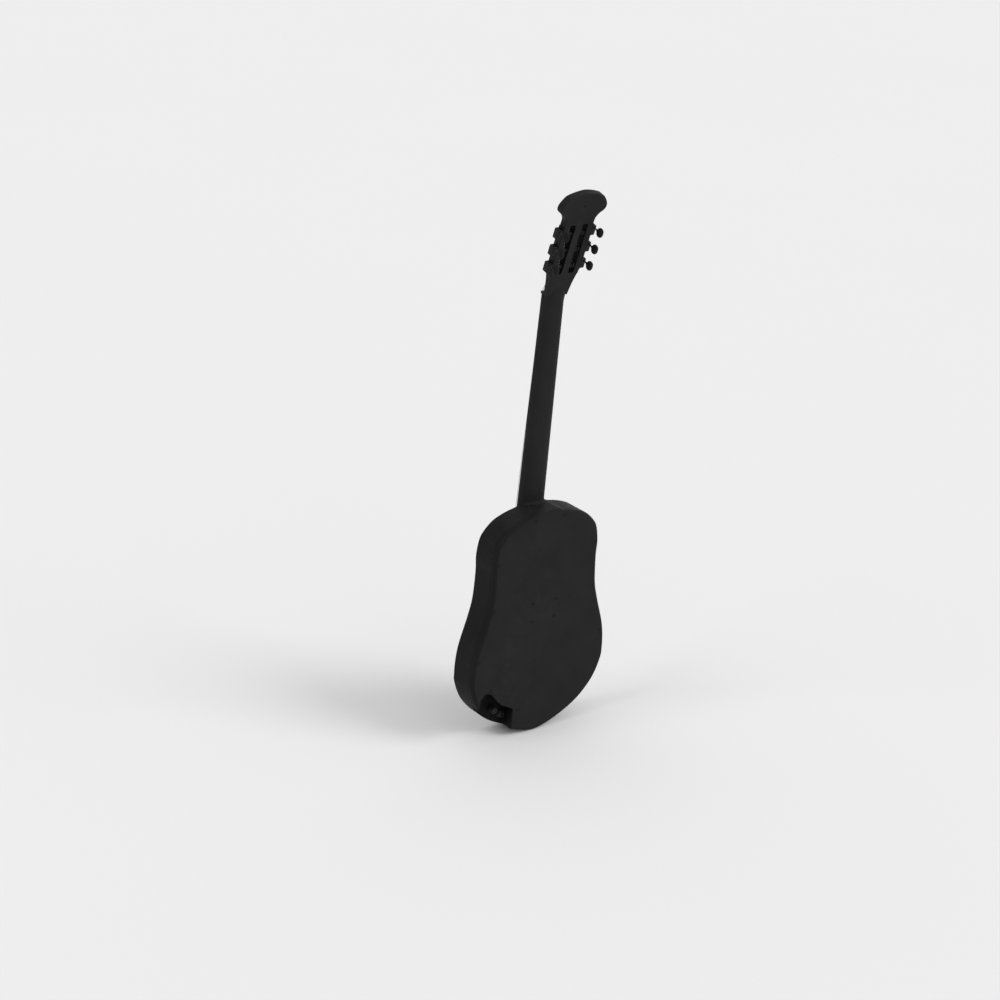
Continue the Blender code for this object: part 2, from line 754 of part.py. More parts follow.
def make_braces():
    """Brace and bridge plate under the soundboard."""
    under = FRONT_Y + TOP_T + GAP
    half = half_width(BRACE_Z) - LINING_W - BRACE_W
    brace = box("soundboard_brace", (2 * half, BRACE_H, BRACE_W), (0, under + BRACE_H / 2, BRACE_Z))
    finish(bevel(brace, BRACE_W / 4), "soundboard_brace", "inner")
    shim = box("bridge_plate", (2 * (BRIDGE_HALF - BRACE_W), PLATE_UNDER_T, BRIDGE_W + BRACE_W),
               (0, under + PLATE_UNDER_T / 2, saddle_z() - BRIDGE_BACKSET))
    finish(shim, "bridge_plate", "inner")


def make_tray():
    """Preamp tray under the back cover, with the pocket that holds the battery."""
    high = UNDER_SKIN_Y
    low = high - TRAY_D
    tray = box("preamp_tray", (2 * TRAY_HALF_X, TRAY_D, 2 * TRAY_HALF_Z),
               (0, (low + high) / 2, TRAY_Z))
    bevel(tray, PAST)
    battery_y = low + GAP + BATTERY_D / 2
    pocket = (BATTERY_X + 2 * GAP, BATTERY_D + 2 * GAP + PAST, BATTERY_Z + 2 * GAP)
    boolean(tray, box("pocket", pocket, (0, battery_y - PAST / 2, TRAY_Z)))
    boolean(tray, shank_holes(tray_screws(), high + PAST))
    finish(tray, "preamp_tray", "black_metal")
    battery = box("battery_9v", (BATTERY_X, BATTERY_D, BATTERY_Z), (0, battery_y, TRAY_Z))
    finish(bevel(battery, PAST), "battery_9v", "black_metal")


def make_screw(name, x, z):
    """Countersunk screw whose head lies flush with the back."""
    frame = back_axis(x, z, BACK_Y)
    profile = [(0.0, -0.1), (SCREW_HEAD_R, -0.2), (SCREW_HEAD_R, GAP - SCREW_HEAD_H),
               (SCREW_R, -SCREW_HEAD_H), (SCREW_R, SCREW_R - SCREW_L), (0.0, -SCREW_L)]
    screw = turned(name, profile, 8, frame)
    boolean(screw, cylinder("socket", SCREW_SOCKET_R, -SCREW_SOCKET_R, 1, 6, frame))
    finish(screw, name, "black_metal")


def make_screws():
    """Screws in the back."""
    for index, (x, z) in enumerate(edge_screws()):
        make_screw(f"cover_screw_{index + 1}", x, z)
    for index, (x, z) in enumerate(tray_screws()):
        make_screw(f"tray_screw_{index + 1}", x, z)


def neck_y(z):
    """Depth of the fretboard's face at a height."""
    return ROOT_Y + (z - BODY_L) * math.tan(NECK_PITCH)


def nut_z():
    """Height of the nut's upper edge, where the head starts."""
    return BODY_L + NECK_L * math.cos(NECK_PITCH)


def saddle_z():
    """Height of the saddle, one scale length from the nut."""
    return nut_z() - SCALE_L * math.cos(NECK_PITCH)


def saddle_y():
    """Depth of the saddle's crown, under the strings."""
    return neck_y(saddle_z()) - SADDLE_STRING_H


def neck_half(along):
    """Half width of the neck, at a distance down the fretboard from the nut."""
    return NUT_HALF + (ROOT_HALF - NUT_HALF) * along / NECK_L


def neck_depth(along):
    """Wood under the fretboard, at a distance down from the nut."""
    return NECK_T_NUT + (NECK_T_ROOT - NECK_T_NUT) * min(1.0, along / NECK_L)


def neck_frame():
    """Frame on the fretboard's face at the nut: X across, Y out of the back, Z up the neck."""
    spot = Vector((0, neck_y(nut_z()), nut_z())) * MM
    return Matrix.Translation(spot) @ Matrix.Rotation(-NECK_PITCH, 4, "X")


def head_frame():
    """Frame on the head's back face at the nut: X across, Y out of the back, Z up the head."""
    spot = neck_frame() @ Vector((0, (BOARD_T + NECK_T_NUT) * MM, 0))
    return Matrix.Translation(spot) @ Matrix.Rotation(-HEAD_ANGLE, 4, "X")


def tenon_box(name, grow):
    """Tenon of the neck, which reaches through the rim into the neck block."""
    low_y = LINING_Y + TENON_INSET - grow
    high_y = ROOT_Y + BOARD_T + NECK_T_ROOT + ROOT_FILLET - TENON_COVER + grow
    low_z = BODY_L - TENON_L - grow
    high_z = BODY_L + TENON_INSET
    size = (2 * (TENON_HALF + grow), high_y - low_y, high_z - low_z)
    return box(name, size, (0, (low_y + high_y) / 2, (low_z + high_z) / 2))


def fillet(height, radius):
    """Spread of a round fillet at a height above where it starts."""
    short = radius - min(max(height, 0.0), radius)
    return radius - math.sqrt(radius ** 2 - short ** 2)


def d_section(along, half, depth, side_spread=0.0, back_spread=0.0):
    """Section of the neck: flat under the fretboard, round behind, spread at its root."""
    frame = neck_frame()
    edge = BOARD_T + FRET_INSET
    points = [(-half, BOARD_T), (half, BOARD_T)]
    steps = 12
    for step in range(steps + 1):
        angle = math.pi * step / steps
        wide = math.copysign(abs(math.cos(angle)) ** 0.8, math.cos(angle))
        deep = math.sin(angle) ** 0.8
        points.append(((half + side_spread) * wide, edge + (depth + back_spread - FRET_INSET) * deep))
    return [frame @ (Vector((x, y, -along)) * MM) / MM for x, y in points]


def neck_sections():
    """Sections from below the body's top up to just past the nut."""
    sections = []
    fillet_shares = (0.0, 0.11, 0.33, 0.67, 1.0)
    rises = [ROOT_FILLET * share - SHOULDER_DROP for share in fillet_shares[:-1]]
    rises += [ROOT_FILLET * share for share in fillet_shares]
    for rise in [-ROOT_L] + sorted(rises):
        along = NECK_L - rise
        sections.append(d_section(along, neck_half(along), neck_depth(along),
                                  fillet(rise + SHOULDER_DROP, ROOT_FILLET),
                                  fillet(rise, ROOT_FILLET)))
    for along in (NECK_L * 0.7, NECK_L * 0.35, 3 * VOLUTE_RISE):
        sections.append(d_section(along, neck_half(along), neck_depth(along)))
    volute = NECK_T_NUT + VOLUTE_RISE
    return sections + [d_section(0.0, NUT_HALF, volute), d_section(-10.0, NUT_HALF, volute - 1)]


def make_neck():
    """Neck, filleted root, tenon and slotted head as one piece of wood."""
    neck = loft("neck", neck_sections())
    boolean(neck, body_plate("body_space", [body_outline(GAP)],
                             FRONT_Y - ROOT_L, BACK_Y + ROOT_L))
    boolean(neck, tenon_box("tenon", 0.0), "UNION")
    boolean(neck, plate("head_blank", [head_outline()], 0, HEAD_T + PAST,
                        head_frame() @ OUTLINE_TURN), "UNION")
    boolean(neck, box("front_cut", (4 * EAR_HALF, 2 * HEAD_T, HEAD_PEAK + FRONT_CUT_BELOW + PAST),
                      (0, -2 * HEAD_T, (HEAD_PEAK - FRONT_CUT_BELOW + PAST) / 2), head_frame()))
    cut_slots(neck)
    channel = 2 * (ROD_R + GAP)
    boolean(neck, box("rod_channel", (channel, channel + 1, NECK_L - 2 * ROD_END),
                      (0, BOARD_T + (channel - 1) / 2, -NECK_L / 2), neck_frame()))
    seat = NUT_L + NUT_SEAT_END
    boolean(neck, box("nut_seat", (4 * NUT_HALF, 2 * (BOARD_T + NUT_SEAT_D), seat),
                      (0, 0, GAP - seat / 2), neck_frame()))
    spot = head_frame() @ Matrix.Translation((0, 0, HANG_HOLE_S * MM)) @ BACK_TURN
    boolean(neck, cylinder("hang_hole", HANG_HOLE_R, -HANG_HOLE_D, PAST, 12, spot))
    finish(neck, "neck", "shell", smooth=True)


def cut_slots(neck):
    """Cut the two slots of the head and the holes for the rollers."""
    for side in (-1, 1):
        near = side * (SLOT_X - SLOT_HALF)
        far = side * (SLOT_X + SLOT_HALF)
        corners = [(near, SLOT_LO), (far, SLOT_LO), (far, SLOT_HI), (near, SLOT_HI)]
        loop = rounded([(corner, SLOT_END_R) for corner in corners], 4)
        boolean(neck, plate("slot", [loop], -BODY_D, BODY_D, head_frame() @ OUTLINE_TURN))
        for s in ROLLER_S:
            boolean(neck, head_bar("roller_hole", side, s, SLOT_X, GEAR_X, ROLLER_R + GAP))
            boolean(neck, head_bar("tip_hole", side, s, ROLLER_TIP_X - GAP, SLOT_X,
                                   ROLLER_TIP_R + GAP))


def head_outline():
    """Outline of the head from the nut up, with its two ears, anticlockwise."""
    foot = (NUT_HALF + THROAT_OUT, -THROAT_BACK)
    wide = (HEAD_HALF, HEAD_WIDE_S)
    start = (HEAD_HALF, EAR_START_S)
    ear = (EAR_HALF, EAR_S)
    peak = (0.0, HEAD_PEAK)
    bend = [start, *between(start, ear, EAR_SHAPE), ear, *between(ear, peak, CROWN_SHAPE)]
    guide = [wide, *bend, peak, *mirrored(bend)[:1]]
    curved = catmull(guide, EAR_STEPS)[EAR_STEPS:EAR_STEPS * (len(bend) + 1)]
    right = [foot, *between(foot, wide, THROAT_SHAPE), wide, *curved]
    return right + [peak] + mirrored(right)


def head_bar(name, side, s, low, high, radius):
    """Round bar across the head, from low to high outward from its middle line."""
    return cylinder(name, radius, low, high, 12, roller_frame(side, s))


def roller_frame(side, s):
    """Frame on a roller's axis at the head's middle line, third axis outward."""
    spot = head_frame() @ Matrix.Translation(Vector((0, -HEAD_T / 2, s)) * MM)
    return spot @ Matrix.Rotation(side * math.pi / 2, 4, "Y")


def make_rod():
    """Truss rod in its channel under the fretboard."""
    half = NECK_L / 2 - ROD_END - GAP
    spot = Matrix.Translation(Vector((0, BOARD_T + ROD_R + GAP, -NECK_L / 2)) * MM)
    rod = cylinder("truss_rod", ROD_R, -half, half, 12, neck_frame() @ spot)
    finish(rod, "truss_rod", "steel", smooth=True)


def make_fretboard():
    """Tapered fretboard with its frets."""
    frame = neck_frame()
    end = SCALE_L * (1 - 2 ** (-(FRETS + 0.6) / 12))
    top = -NUT_L - GAP
    corners = [(-neck_half(end), -end), (neck_half(end), -end), (NUT_HALF, top), (-NUT_HALF, top)]
    board = plate("fretboard", [corners], GAP - BOARD_T, 0, frame @ OUTLINE_TURN)
    for fret in range(1, FRETS + 1):
        along = SCALE_L * (1 - 2 ** (-fret / 12))
        wire = (2 * (neck_half(along) - FRET_INSET), 2 * FRET_H, FRET_W)
        boolean(board, box("fret", wire, (0, 0, -along), frame), "UNION")
    finish(board, "fretboard", "board")


def make_nut():
    """Nut with a groove for each string."""
    frame = neck_frame()
    nut = box("nut", (2 * NUT_HALF, NUT_H, NUT_L), (0, BOARD_T - GAP - NUT_H / 2, -NUT_L / 2), frame)
    for index in range(len(STRING_R)):
        x = string_x(index, STRING_SPAN_NUT)
        spot = Matrix.Translation(Vector((x, -NUT_STRING_H, 0)) * MM)
        boolean(nut, cylinder("groove", NUT_GROOVE_R, -NUT_L - PAST, PAST, 8, frame @ spot))
    finish(nut, "nut", "bone")


def string_x(index, span):
    """Place of a string across the neck, bass first."""
    return -span / 2 + span * index / (len(STRING_R) - 1)


def make_bridge():
    """Bridge with its saddle slot, its trough and a hole for each string."""
    z = saddle_z()
    centre_z = z - BRIDGE_BACKSET
    top = BRIDGE_Y - BRIDGE_CORE_H
    bridge = box("bridge", (2 * BRIDGE_HALF, BRIDGE_WING_H, BRIDGE_W),
                 (0, BRIDGE_Y - BRIDGE_WING_H / 2, centre_z))
    bevel(bridge, BRIDGE_R)
    core = box("core", (2 * BRIDGE_CORE_HALF, BRIDGE_CORE_H - BRIDGE_R, BRIDGE_W - GAP),
               (0, top + (BRIDGE_CORE_H - BRIDGE_R) / 2, centre_z))
    boolean(bridge, bevel(core, CORE_R), "UNION")
    boolean(bridge, box("slot", (2 * (SADDLE_HALF + GAP), 2 * SADDLE_SEAT_D, SADDLE_T + 2 * GAP),
                        (0, top, z)))
    boolean(bridge, box("trough", (2 * SADDLE_HALF, 2 * TROUGH_D, TROUGH_W),
                        (0, top, z - TROUGH_DROP)))
    for index in range(len(STRING_R)):
        spot = Matrix.Translation(Vector((string_x(index, STRING_SPAN_BRIDGE), TIE_Y, 0)) * MM)
        boolean(bridge, cylinder("tie_hole", TIE_HOLE_R, z - BRIDGE_W, z - TROUGH_DROP, 8, spot))
    finish(bridge, "bridge", "board")


def make_saddle():
    """Saddle and the pickup strip that it presses on."""
    floor = BRIDGE_Y - BRIDGE_CORE_H + SADDLE_SEAT_D
    piezo = box("piezo_strip", (2 * (SADDLE_HALF - GAP), PIEZO_T, SADDLE_T),
                (0, floor - GAP - PIEZO_T / 2, saddle_z()))
    finish(piezo, "piezo_strip", "steel")
    low = floor - 2 * GAP - PIEZO_T
    saddle = box("saddle", (2 * SADDLE_HALF, low - saddle_y(), SADDLE_T),
                 (0, (low + saddle_y()) / 2, saddle_z()))
    finish(bevel(saddle, SADDLE_T / 4), "saddle", "bone")


def winding(index):
    """Points of the turns of one string round its roller."""
    side = -1 if index < TUNERS_A_SIDE else 1
    station = ROLLER_S[index if side < 0 else 2 * TUNERS_A_SIDE - 1 - index]
    reach = ROLLER_R + GAP + STRING_R[index]
    start = SLOT_X + SLOT_HALF / 2 - WRAP_PITCH * WRAP_TURNS / 2
    points = []
    for step in range(WRAP_POINTS * WRAP_TURNS + 1):
        angle = WRAP_START + 2 * math.pi * step / WRAP_POINTS
        x = side * (start + WRAP_PITCH * step / WRAP_POINTS)
        local = Vector((x, reach * math.sin(angle) - HEAD_T / 2, station - reach * math.cos(angle)))
        points.append(head_frame() @ (local * MM) / MM)
    return points


def least_gap(points, radius):
    """Least clear distance between two turns of a winding."""
    near = WRAP_POINTS // 2
    return min((a - b).length for i, a in enumerate(points) for b in points[i + near:]) - 2 * radius


def string_route(index):
    """Points of one string: tie hole, saddle, nut, then its turns round the roller."""
    radius = STRING_R[index]
    z = saddle_z()
    bridge_x = string_x(index, STRING_SPAN_BRIDGE)
    nut_x = string_x(index, STRING_SPAN_NUT)
    start = Vector((bridge_x, TIE_Y, z - BRIDGE_BACKSET - BRIDGE_W / 2 - 1))
    exit_hole = Vector((bridge_x, TIE_Y, z - TROUGH_DROP))
    over_saddle = Vector((bridge_x, saddle_y() - radius - GAP, z))
    behind_saddle = over_saddle - Vector((0, 0, SADDLE_T / 2 + radius + GAP))
    over_nut = neck_frame() @ (Vector((nut_x, -NUT_STRING_H, -NUT_L / 2)) * MM) / MM
    nut_edge = neck_frame() @ (Vector((nut_x, GAP / 2 - NUT_STRING_H, 4 * GAP)) * MM) / MM
    return [start, exit_hole, behind_saddle, over_saddle, over_nut, nut_edge, *winding(index)]


def make_strings():
    """The strings, each one unbroken tube with its winding."""
    for index, radius in enumerate(STRING_R):
        name = f"string_{index + 1}"
        wire = tube(name, string_route(index), radius)
        finish(wire, name, "wound" if index < WOUND_STRINGS else "nylon", smooth=True)
        print(f"{name}: least gap between its turns {least_gap(winding(index), radius):.2f} mm")


def worm_frame(side, s):
    """Frame on a worm's axis, level with the head's back face, third axis out of the back."""
    place = Vector((side * (HEAD_HALF + PLATE_T + WORM_OFF), 0, s + CENTRE_DIST)) * MM
    return head_frame() @ Matrix.Translation(place) @ BACK_TURN


def make_tuner_plate(name, side):
    """Side plate with three gear housings, each open for its gear, roller and worm."""
    frame = head_frame()
    low = ROLLER_S[0] - PLATE_MARGIN
    high = ROLLER_S[-1] + CENTRE_DIST + PLATE_MARGIN
    made = box(name, (PLATE_T, HEAD_T - 2 * PLATE_INSET, high - low),
               (side * (PLATE_X + PLATE_T / 2), -HEAD_T / 2, (high + low) / 2), frame)
    for s in ROLLER_S:
        add_housing(made, side, s)
    finish(made, name, "black_metal", smooth=True)


def add_housing(made, side, s):
    """Join one gear housing to a tuner plate and hollow it."""
    half_len = (GEAR_R + CENTRE_DIST + WORM_R) / 2 + GAP + HOUSING_WALL
    centre = s + (CENTRE_DIST + WORM_R - GEAR_R) / 2
    shell = box("housing", (HOUSING_X, HEAD_T - 2 * HOUSING_INSET, 2 * half_len),
                (side * (PLATE_X + PLATE_INSET + HOUSING_X / 2), -HEAD_T / 2, centre), head_frame())
    boolean(made, bevel(shell, HOUSING_R, 1), "UNION")
    boolean(made, head_bar("gear_space", side, s, GEAR_X, GEAR_X + GEAR_T + 2 * GAP, GEAR_R + GAP))
    boolean(made, head_bar("roller_hole", side, s, PLATE_X - PAST, GEAR_X + GAP,
                           ROLLER_NECK_R + GAP))
    axis = worm_frame(side, s)
    boolean(made, cylinder("worm_space", WORM_R + GAP, WORM_END - HEAD_T, -WORM_END, 10, axis))
    boolean(made, cylinder("stem_hole", STEM_R + GAP, -WORM_END - GAP, PAST, 10, axis))


def make_roller(name, side, s):
    """String roller with its spindle and toothed gear."""
    frame = roller_frame(side, s)
    slot_in = SLOT_X - SLOT_HALF
    gear_low = GEAR_X + GAP
    gear_mid = gear_low + GEAR_T / 2
    profile = [(0.0, gear_mid), (ROLLER_NECK_R, gear_mid), (ROLLER_NECK_R, HEAD_HALF),
               (ROLLER_R, HEAD_HALF), (ROLLER_R, slot_in + GAP), (ROLLER_TIP_R, slot_in),
               (ROLLER_TIP_R, ROLLER_TIP_X), (0.0, ROLLER_TIP_X)]
    roller = turned(name, profile, 12, frame)
    teeth = circle((0, 0), GEAR_R, GEAR_TEETH)
    half = math.pi / GEAR_TEETH
    turn = Matrix.Rotation(half, 2)
    roots = [tuple(turn @ Vector(place)) for place in circle((0, 0), GEAR_R - GEAR_TOOTH, GEAR_TEETH)]
    loop = [place for pair in zip(teeth, roots) for place in pair]
    boolean(roller, plate("gear", [loop], gear_low, gear_low + GEAR_T, frame), "UNION")
    finish(roller, name, "brass", smooth=True)


def make_worm(name, side, s):
    """Worm and its stem, which carries the button."""
    low = WORM_END + GAP - HEAD_T
    high = -WORM_END - GAP
    top = BUTTON_RISE - BUTTON_L / 2 + STEM_IN_BUTTON
    pitch = (high - low) / (WORM_TURNS + 0.5)
    profile = [(0.0, top), (STEM_R, top), (STEM_R, high), (WORM_CORE_R, high)]
    for ring in range(WORM_TURNS):
        z = high - pitch * (ring + 0.3)
        profile += [(WORM_CORE_R, z), (WORM_R, z - pitch * 0.2), (WORM_R, z - pitch * 0.5),
                    (WORM_CORE_R, z - pitch * 0.7)]
    profile += [(WORM_CORE_R, low), (0.0, low)]
    finish(turned(name, profile, 8, worm_frame(side, s)), name, "steel", smooth=True)


def make_button(name, side, s):
    """Oval button bored for the worm's stem."""
    frame = worm_frame(side, s)
    bm = bmesh.new()
    bmesh.ops.create_uvsphere(bm, u_segments=12, v_segments=6, radius=0.5)
    bmesh.ops.scale(bm, verts=bm.verts, vec=Vector((BUTTON_T, BUTTON_W, BUTTON_L)) * MM)
    button = mesh_object(name, bm, frame @ Matrix.Translation((0, 0, BUTTON_RISE * MM)))
    top = BUTTON_RISE - BUTTON_L / 2 + STEM_IN_BUTTON
    boolean(button, cylinder("bore", STEM_R + GAP, 0, top + GAP, 10, frame))
    finish(button, name, "button", smooth=True)


def make_tuners():
    """Both tuner sets, numbered from the nut up on the bass side, then on the treble side."""
    number = 0
    for side, label in ((-1, "bass"), (1, "treble")):
        make_tuner_plate(f"tuner_plate_{label}", side)
        for s in ROLLER_S:
            number += 1
            make_roller(f"string_roller_{number}", side, s)
            make_worm(f"tuner_worm_{number}", side, s)
            make_button(f"tuner_button_{number}", side, s)


clear_scene()
PARTS = collection("semi_acoustic_guitar")
CUTTERS = collection("cutters")
OUTLINE_TURN = Matrix.Rotation(math.pi / 2, 4, "X")
BACK_TURN = Matrix.Rotation(-math.pi / 2, 4, "X")
make_rim()
make_soundboard()
make_cover()
make_bowl()
make_jack()
make_pot()
make_knob()
make_blocks()
make_braces()
make_tray()
make_screws()
make_neck()
make_rod()
make_fretboard()
make_nut()
make_bridge()
make_saddle()
make_strings()
make_tuners()
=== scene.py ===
import math

import bmesh
import bpy
from mathutils import Matrix, Vector


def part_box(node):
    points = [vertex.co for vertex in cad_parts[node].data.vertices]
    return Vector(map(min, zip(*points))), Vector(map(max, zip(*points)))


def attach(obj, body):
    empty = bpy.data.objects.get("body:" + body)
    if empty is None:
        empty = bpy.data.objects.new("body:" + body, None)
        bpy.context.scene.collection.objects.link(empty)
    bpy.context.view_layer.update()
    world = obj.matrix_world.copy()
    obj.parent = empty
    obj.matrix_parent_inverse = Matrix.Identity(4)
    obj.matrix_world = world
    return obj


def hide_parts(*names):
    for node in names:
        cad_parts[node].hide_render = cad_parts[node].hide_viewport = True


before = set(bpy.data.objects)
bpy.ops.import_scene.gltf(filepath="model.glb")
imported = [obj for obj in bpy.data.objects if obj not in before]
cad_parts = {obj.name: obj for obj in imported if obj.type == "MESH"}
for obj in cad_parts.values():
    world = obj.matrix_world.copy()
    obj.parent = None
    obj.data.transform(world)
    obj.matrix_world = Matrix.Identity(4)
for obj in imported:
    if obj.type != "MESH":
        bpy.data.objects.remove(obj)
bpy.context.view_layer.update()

# Named lengths are in millimetres; MM turns them into the frame's metres.
# +Z runs up the body, +Y points out of the back, +X is the treble side.
MM = 0.001
GAP = 0.3
PAST = 3.0           # how far a cutter runs past what it opens
NEAR = 0.05          # small play, also the tolerance when places are compared
WELD = 0.004         # reach of mend, and the most sides of a hole that it fills
HOLE_SIDES = 8
CAP_WELD = 1e-7      # metres
OFF_PLANE = 0.013    # keeps joined faces from falling on one plane

BODY_L = 465.0
FRONT_Y = -31.0
BACK_Y = 31.0
LOWER = (161.0, 150.0)
WAIST = (124.5, 347.0)
UPPER = (125.5, 380.0)
TAIL_FLAT_HALF = 9.0
ROOT_FLAT_HALF = 22.0
TAIL_SHAPE = [(0.302, 0.094), (0.624, 0.268), (0.865, 0.52), (0.987, 0.8)]
SIDE_SHAPE = [(0.15, 0.228), (0.658, 0.533), (0.904, 0.721)]
SHOULDER_SHAPE = [(0.053, 0.365), (0.15, 0.553), (0.314, 0.735), (0.488, 0.835), (0.662, 0.9),
                  (0.778, 0.929), (0.865, 0.953)]
OUTLINE_STEPS = 8
TOP_T = 3.0
TOP_R = 1.6
COVER_D = 12.0
COVER_R = 8.0
# Faces of the cover further round than this get the darker satin: painted shade.
FLAT_FACE = 0.97     # the flat of the cover; what faces further round has the rim's finish
SKIN_T = 3.0
WALL_T = 4.0
LEDGE_W = 16.0
LEDGE_T = 8.0
LINING_W = 10.0
LINING_T = 8.0
EASE = 0.5           # small rounding of the seams
HOLE_R = 44.0
HOLE_Z = 370.0
HOLE_EASE = 0.8
RING_SIDES = 96
INLAY_RINGS = [(49.0, 50.2), (59.0, 60.2)]       # radii about the soundhole's middle
INLAY_BAND = (51.0, 58.2)
INLAY_PLAY = 0.1
INLAY_SEAT = 0.6
INLAY_T = 0.55

SCREW_R = 1.5
SCREW_HEAD_R = 3.3
SCREW_HEAD_H = 1.9
SCREW_L = 18.0
SCREW_CLEAR = 0.3
SCREW_THREADS = 14
SCREW_STEP = 1.1     # turn from one screw to the next
SCREW_CROSS = ((3.6, 0.72, 1.9), 0.6, 0.5)       # size, depth of its middle, turn
SEAT_CHAMFER = 0.35
COVER_SCREWS = 10
BOWL_SCREWS = [(117.2, 115.0), (46.0, 56.5)]
TRAY_SCREWS = (27.0, 18.9)
TRAY_Z = 260.4
HEEL_SCREW_X = 1.0
HEEL_SCREW_Y = 3.0
HEEL_SCREW_R = 2.6
HEEL_SCREW_L = 3.0
HEEL_SCREW_PLAY = 0.15
HEEL_SCREW_DOME = [(0.0, -0.2), (1.0, -0.28), (1.9, -0.6)]
HEEL_SCREW_CROSS = ((2.8, 0.6, 1.4), 0.4, 0.4)

RECESS_D = 28.0
BOWL_T = 3.0
LUG_R = 13.0
LUG_HOLE_L = 20.0
RECESS_CORNERS = [((139.0, 100.0), 6.0), ((126.5, 112.5), 9.0), ((112.5, 106.0), 12.0),
                  ((90.0, 79.0), 26.0), ((58.5, 62.0), 5.0), ((58.5, -12.0), 0.0),
                  ((139.0, -12.0), 0.0)]
RECESS_FILLET = 2.5
RECESS_CHAMFER = 0.9
KNOB = (92.0, 60.0)
KNOB_LOW = 4.3       # above the recess's floor
KNOB_H = 10.0
KNOB_FLUTES = 24
# height above the knob's foot or its top, radius, depth of the flutes
KNOB_SKIRT = [(0.0, 7.1, 0.0), (0.5, 7.5, 0.0), (1.4, 7.5, 0.0), (1.8, 7.4, 0.5)]
KNOB_CAP = [(-2.0, 7.0, 0.5), (-1.2, 6.9, 0.25), (-0.6, 6.6, 0.0), (-0.15, 6.0, 0.0),
            (0.0, 5.2, 0.0), (-0.25, 4.9, 0.0)]
POINTER_SEAT = (5.0, 0.9, 1.6)
POINTER = (4.4, 0.6, 0.4)
JACK = (69.5, 43.5)
JACK_BORE_R = 3.175
JACK_BORE_L = 26.0
JACK_BUSH_R = 4.7
JACK_TOP_H = 10.0
JACK_NUT_R = 8.2
JACK_NUT_H = 5.0
JACK_BODY_R = 7.5
JACK_BODY_H = 20.0
JACK_THREADS = 9
JACK_EASE = 0.4
JACK_WASHER_H = 1.15
JACK_NUT_CHAMFER = (1.1, 0.7)
POT_BUSH_R = 3.6
SHAFT_R = 2.0
SHAFT_LOW = -7.5     # its end under the bowl

SCALE_L = 635.0
FRETS = 20
CLEAR_FRETS = 19
NECK_PITCH = math.radians(3.0)
BOARD_LIFT = 8.8
BOARD_T = 6.0
NUT_HALF = 22.0
ROOT_HALF = 27.3
NECK_T_NUT = 15.0
NECK_T_ROOT = 18.0
ROOT_FILLET = 9.0
SHOULDER_DROP = 4.0
ROOT_L = 34.0
VOLUTE_RISE = 4.0
VOLUTE_L = 24.0
VOLUTE_TIP = 14.0
VOLUTE_FALL = 2.6
D_CHAMFER = 0.25
D_STEPS = 40
D_POWER = 0.8        # fullness of the neck's back
TENON_HALF = 14.0
TENON_L = 40.0
FRET_W = 2.4
FRET_H = 1.0
FRET_INSET = 0.6
FRET_SUNK = 0.3
FRET_ENDS = [(0.0, 0.15), (0.25, 0.7), (0.9, 1.0)]   # distance in, share of its height
DOT_FRETS = (5, 7, 9, 12, 15, 17)
TWIN_DOT_X = 8.0
DOT_R = 2.55
DOT_SEAT = 0.8
SIDE_DOT_R = 0.9
SIDE_DOT_Y = 2.6
NUT_L = 5.0
NUT_H = 8.7
NUT_SEAT_END = 3.0
NUT_SEAT_D = 0.2
NUT_GROOVE_R = 0.9
NUT_STRING_H = 2.6
SADDLE_STRING_H = 4.5
ROD_END = 15.0
ROD_CHANNEL = 6.6

HEAD_ANGLE = math.radians(18.0)
HEAD_T = 14.8
HEAD_HALF = 32.8
HEAD_EDGE = 1.3
THROAT_BACK = 6.0
THROAT_OUT = 0.5
THROAT_LEAD = (1.0, 12.0)
STRAIGHT_S = 80.0
PEAK_CLEAR = 0.5
FRONT_CUT_BELOW = 2.0
HEAD_WIDE_S = 46.0
EAR_START_S = 140.0
EAR_HALF = 51.0
EAR_S = 177.0
HEAD_PEAK = 210.5
THROAT_SHAPE = [(0.2, 0.31), (0.42, 0.56), (0.75, 0.81)]
EAR_SHAPE = [(0.022, 0.405), (0.34, 0.67), (0.78, 0.838)]
CROWN_SHAPE = [(0.004, 0.207), (0.149, 0.569), (0.373, 0.814)]
EAR_STEPS = 8
SLOT_X = 14.0
SLOT_HALF = 7.0
SLOT_BEFORE = 13.7
SLOT_AFTER = 20.3
SLOT_END_R = 5.0
SLOT_EASE = 0.3
HANG_HOLE_R = 1.6
HANG_HOLE_S = 184.0
HANG_HOLE_L = 3.0

TUNER_PITCH = 35.0
WORM_S = 64.2
CENTRE_DIST = 8.5
PLATE_T = 1.5
PLATE_MARGIN = 8.0
PLATE_INSET = 0.5
PLATE_SCREW_IN = 3.0
PLATE_SCREW = [(0.0, -1.0), (1.5, -1.0), (1.5, 0.25), (1.25, 0.6), (0.7, 0.78), (0.0, 0.82)]
PLATE_DRIVE = (2.6, 0.4, 0.8)
ROLLER_R = 5.0
ROLLER_NECK_R = 3.8
ROLLER_TIP_R = 3.0
ROLLER_TIP_X = 2.4
ROLLER_WAIST = 0.3
GEAR_R = 5.9
GEAR_TOOTH = 1.0
GEAR_T = 4.0
GEAR_TEETH = 14
GEAR_STEEP = 1.6
GEAR_TRIM = 0.97
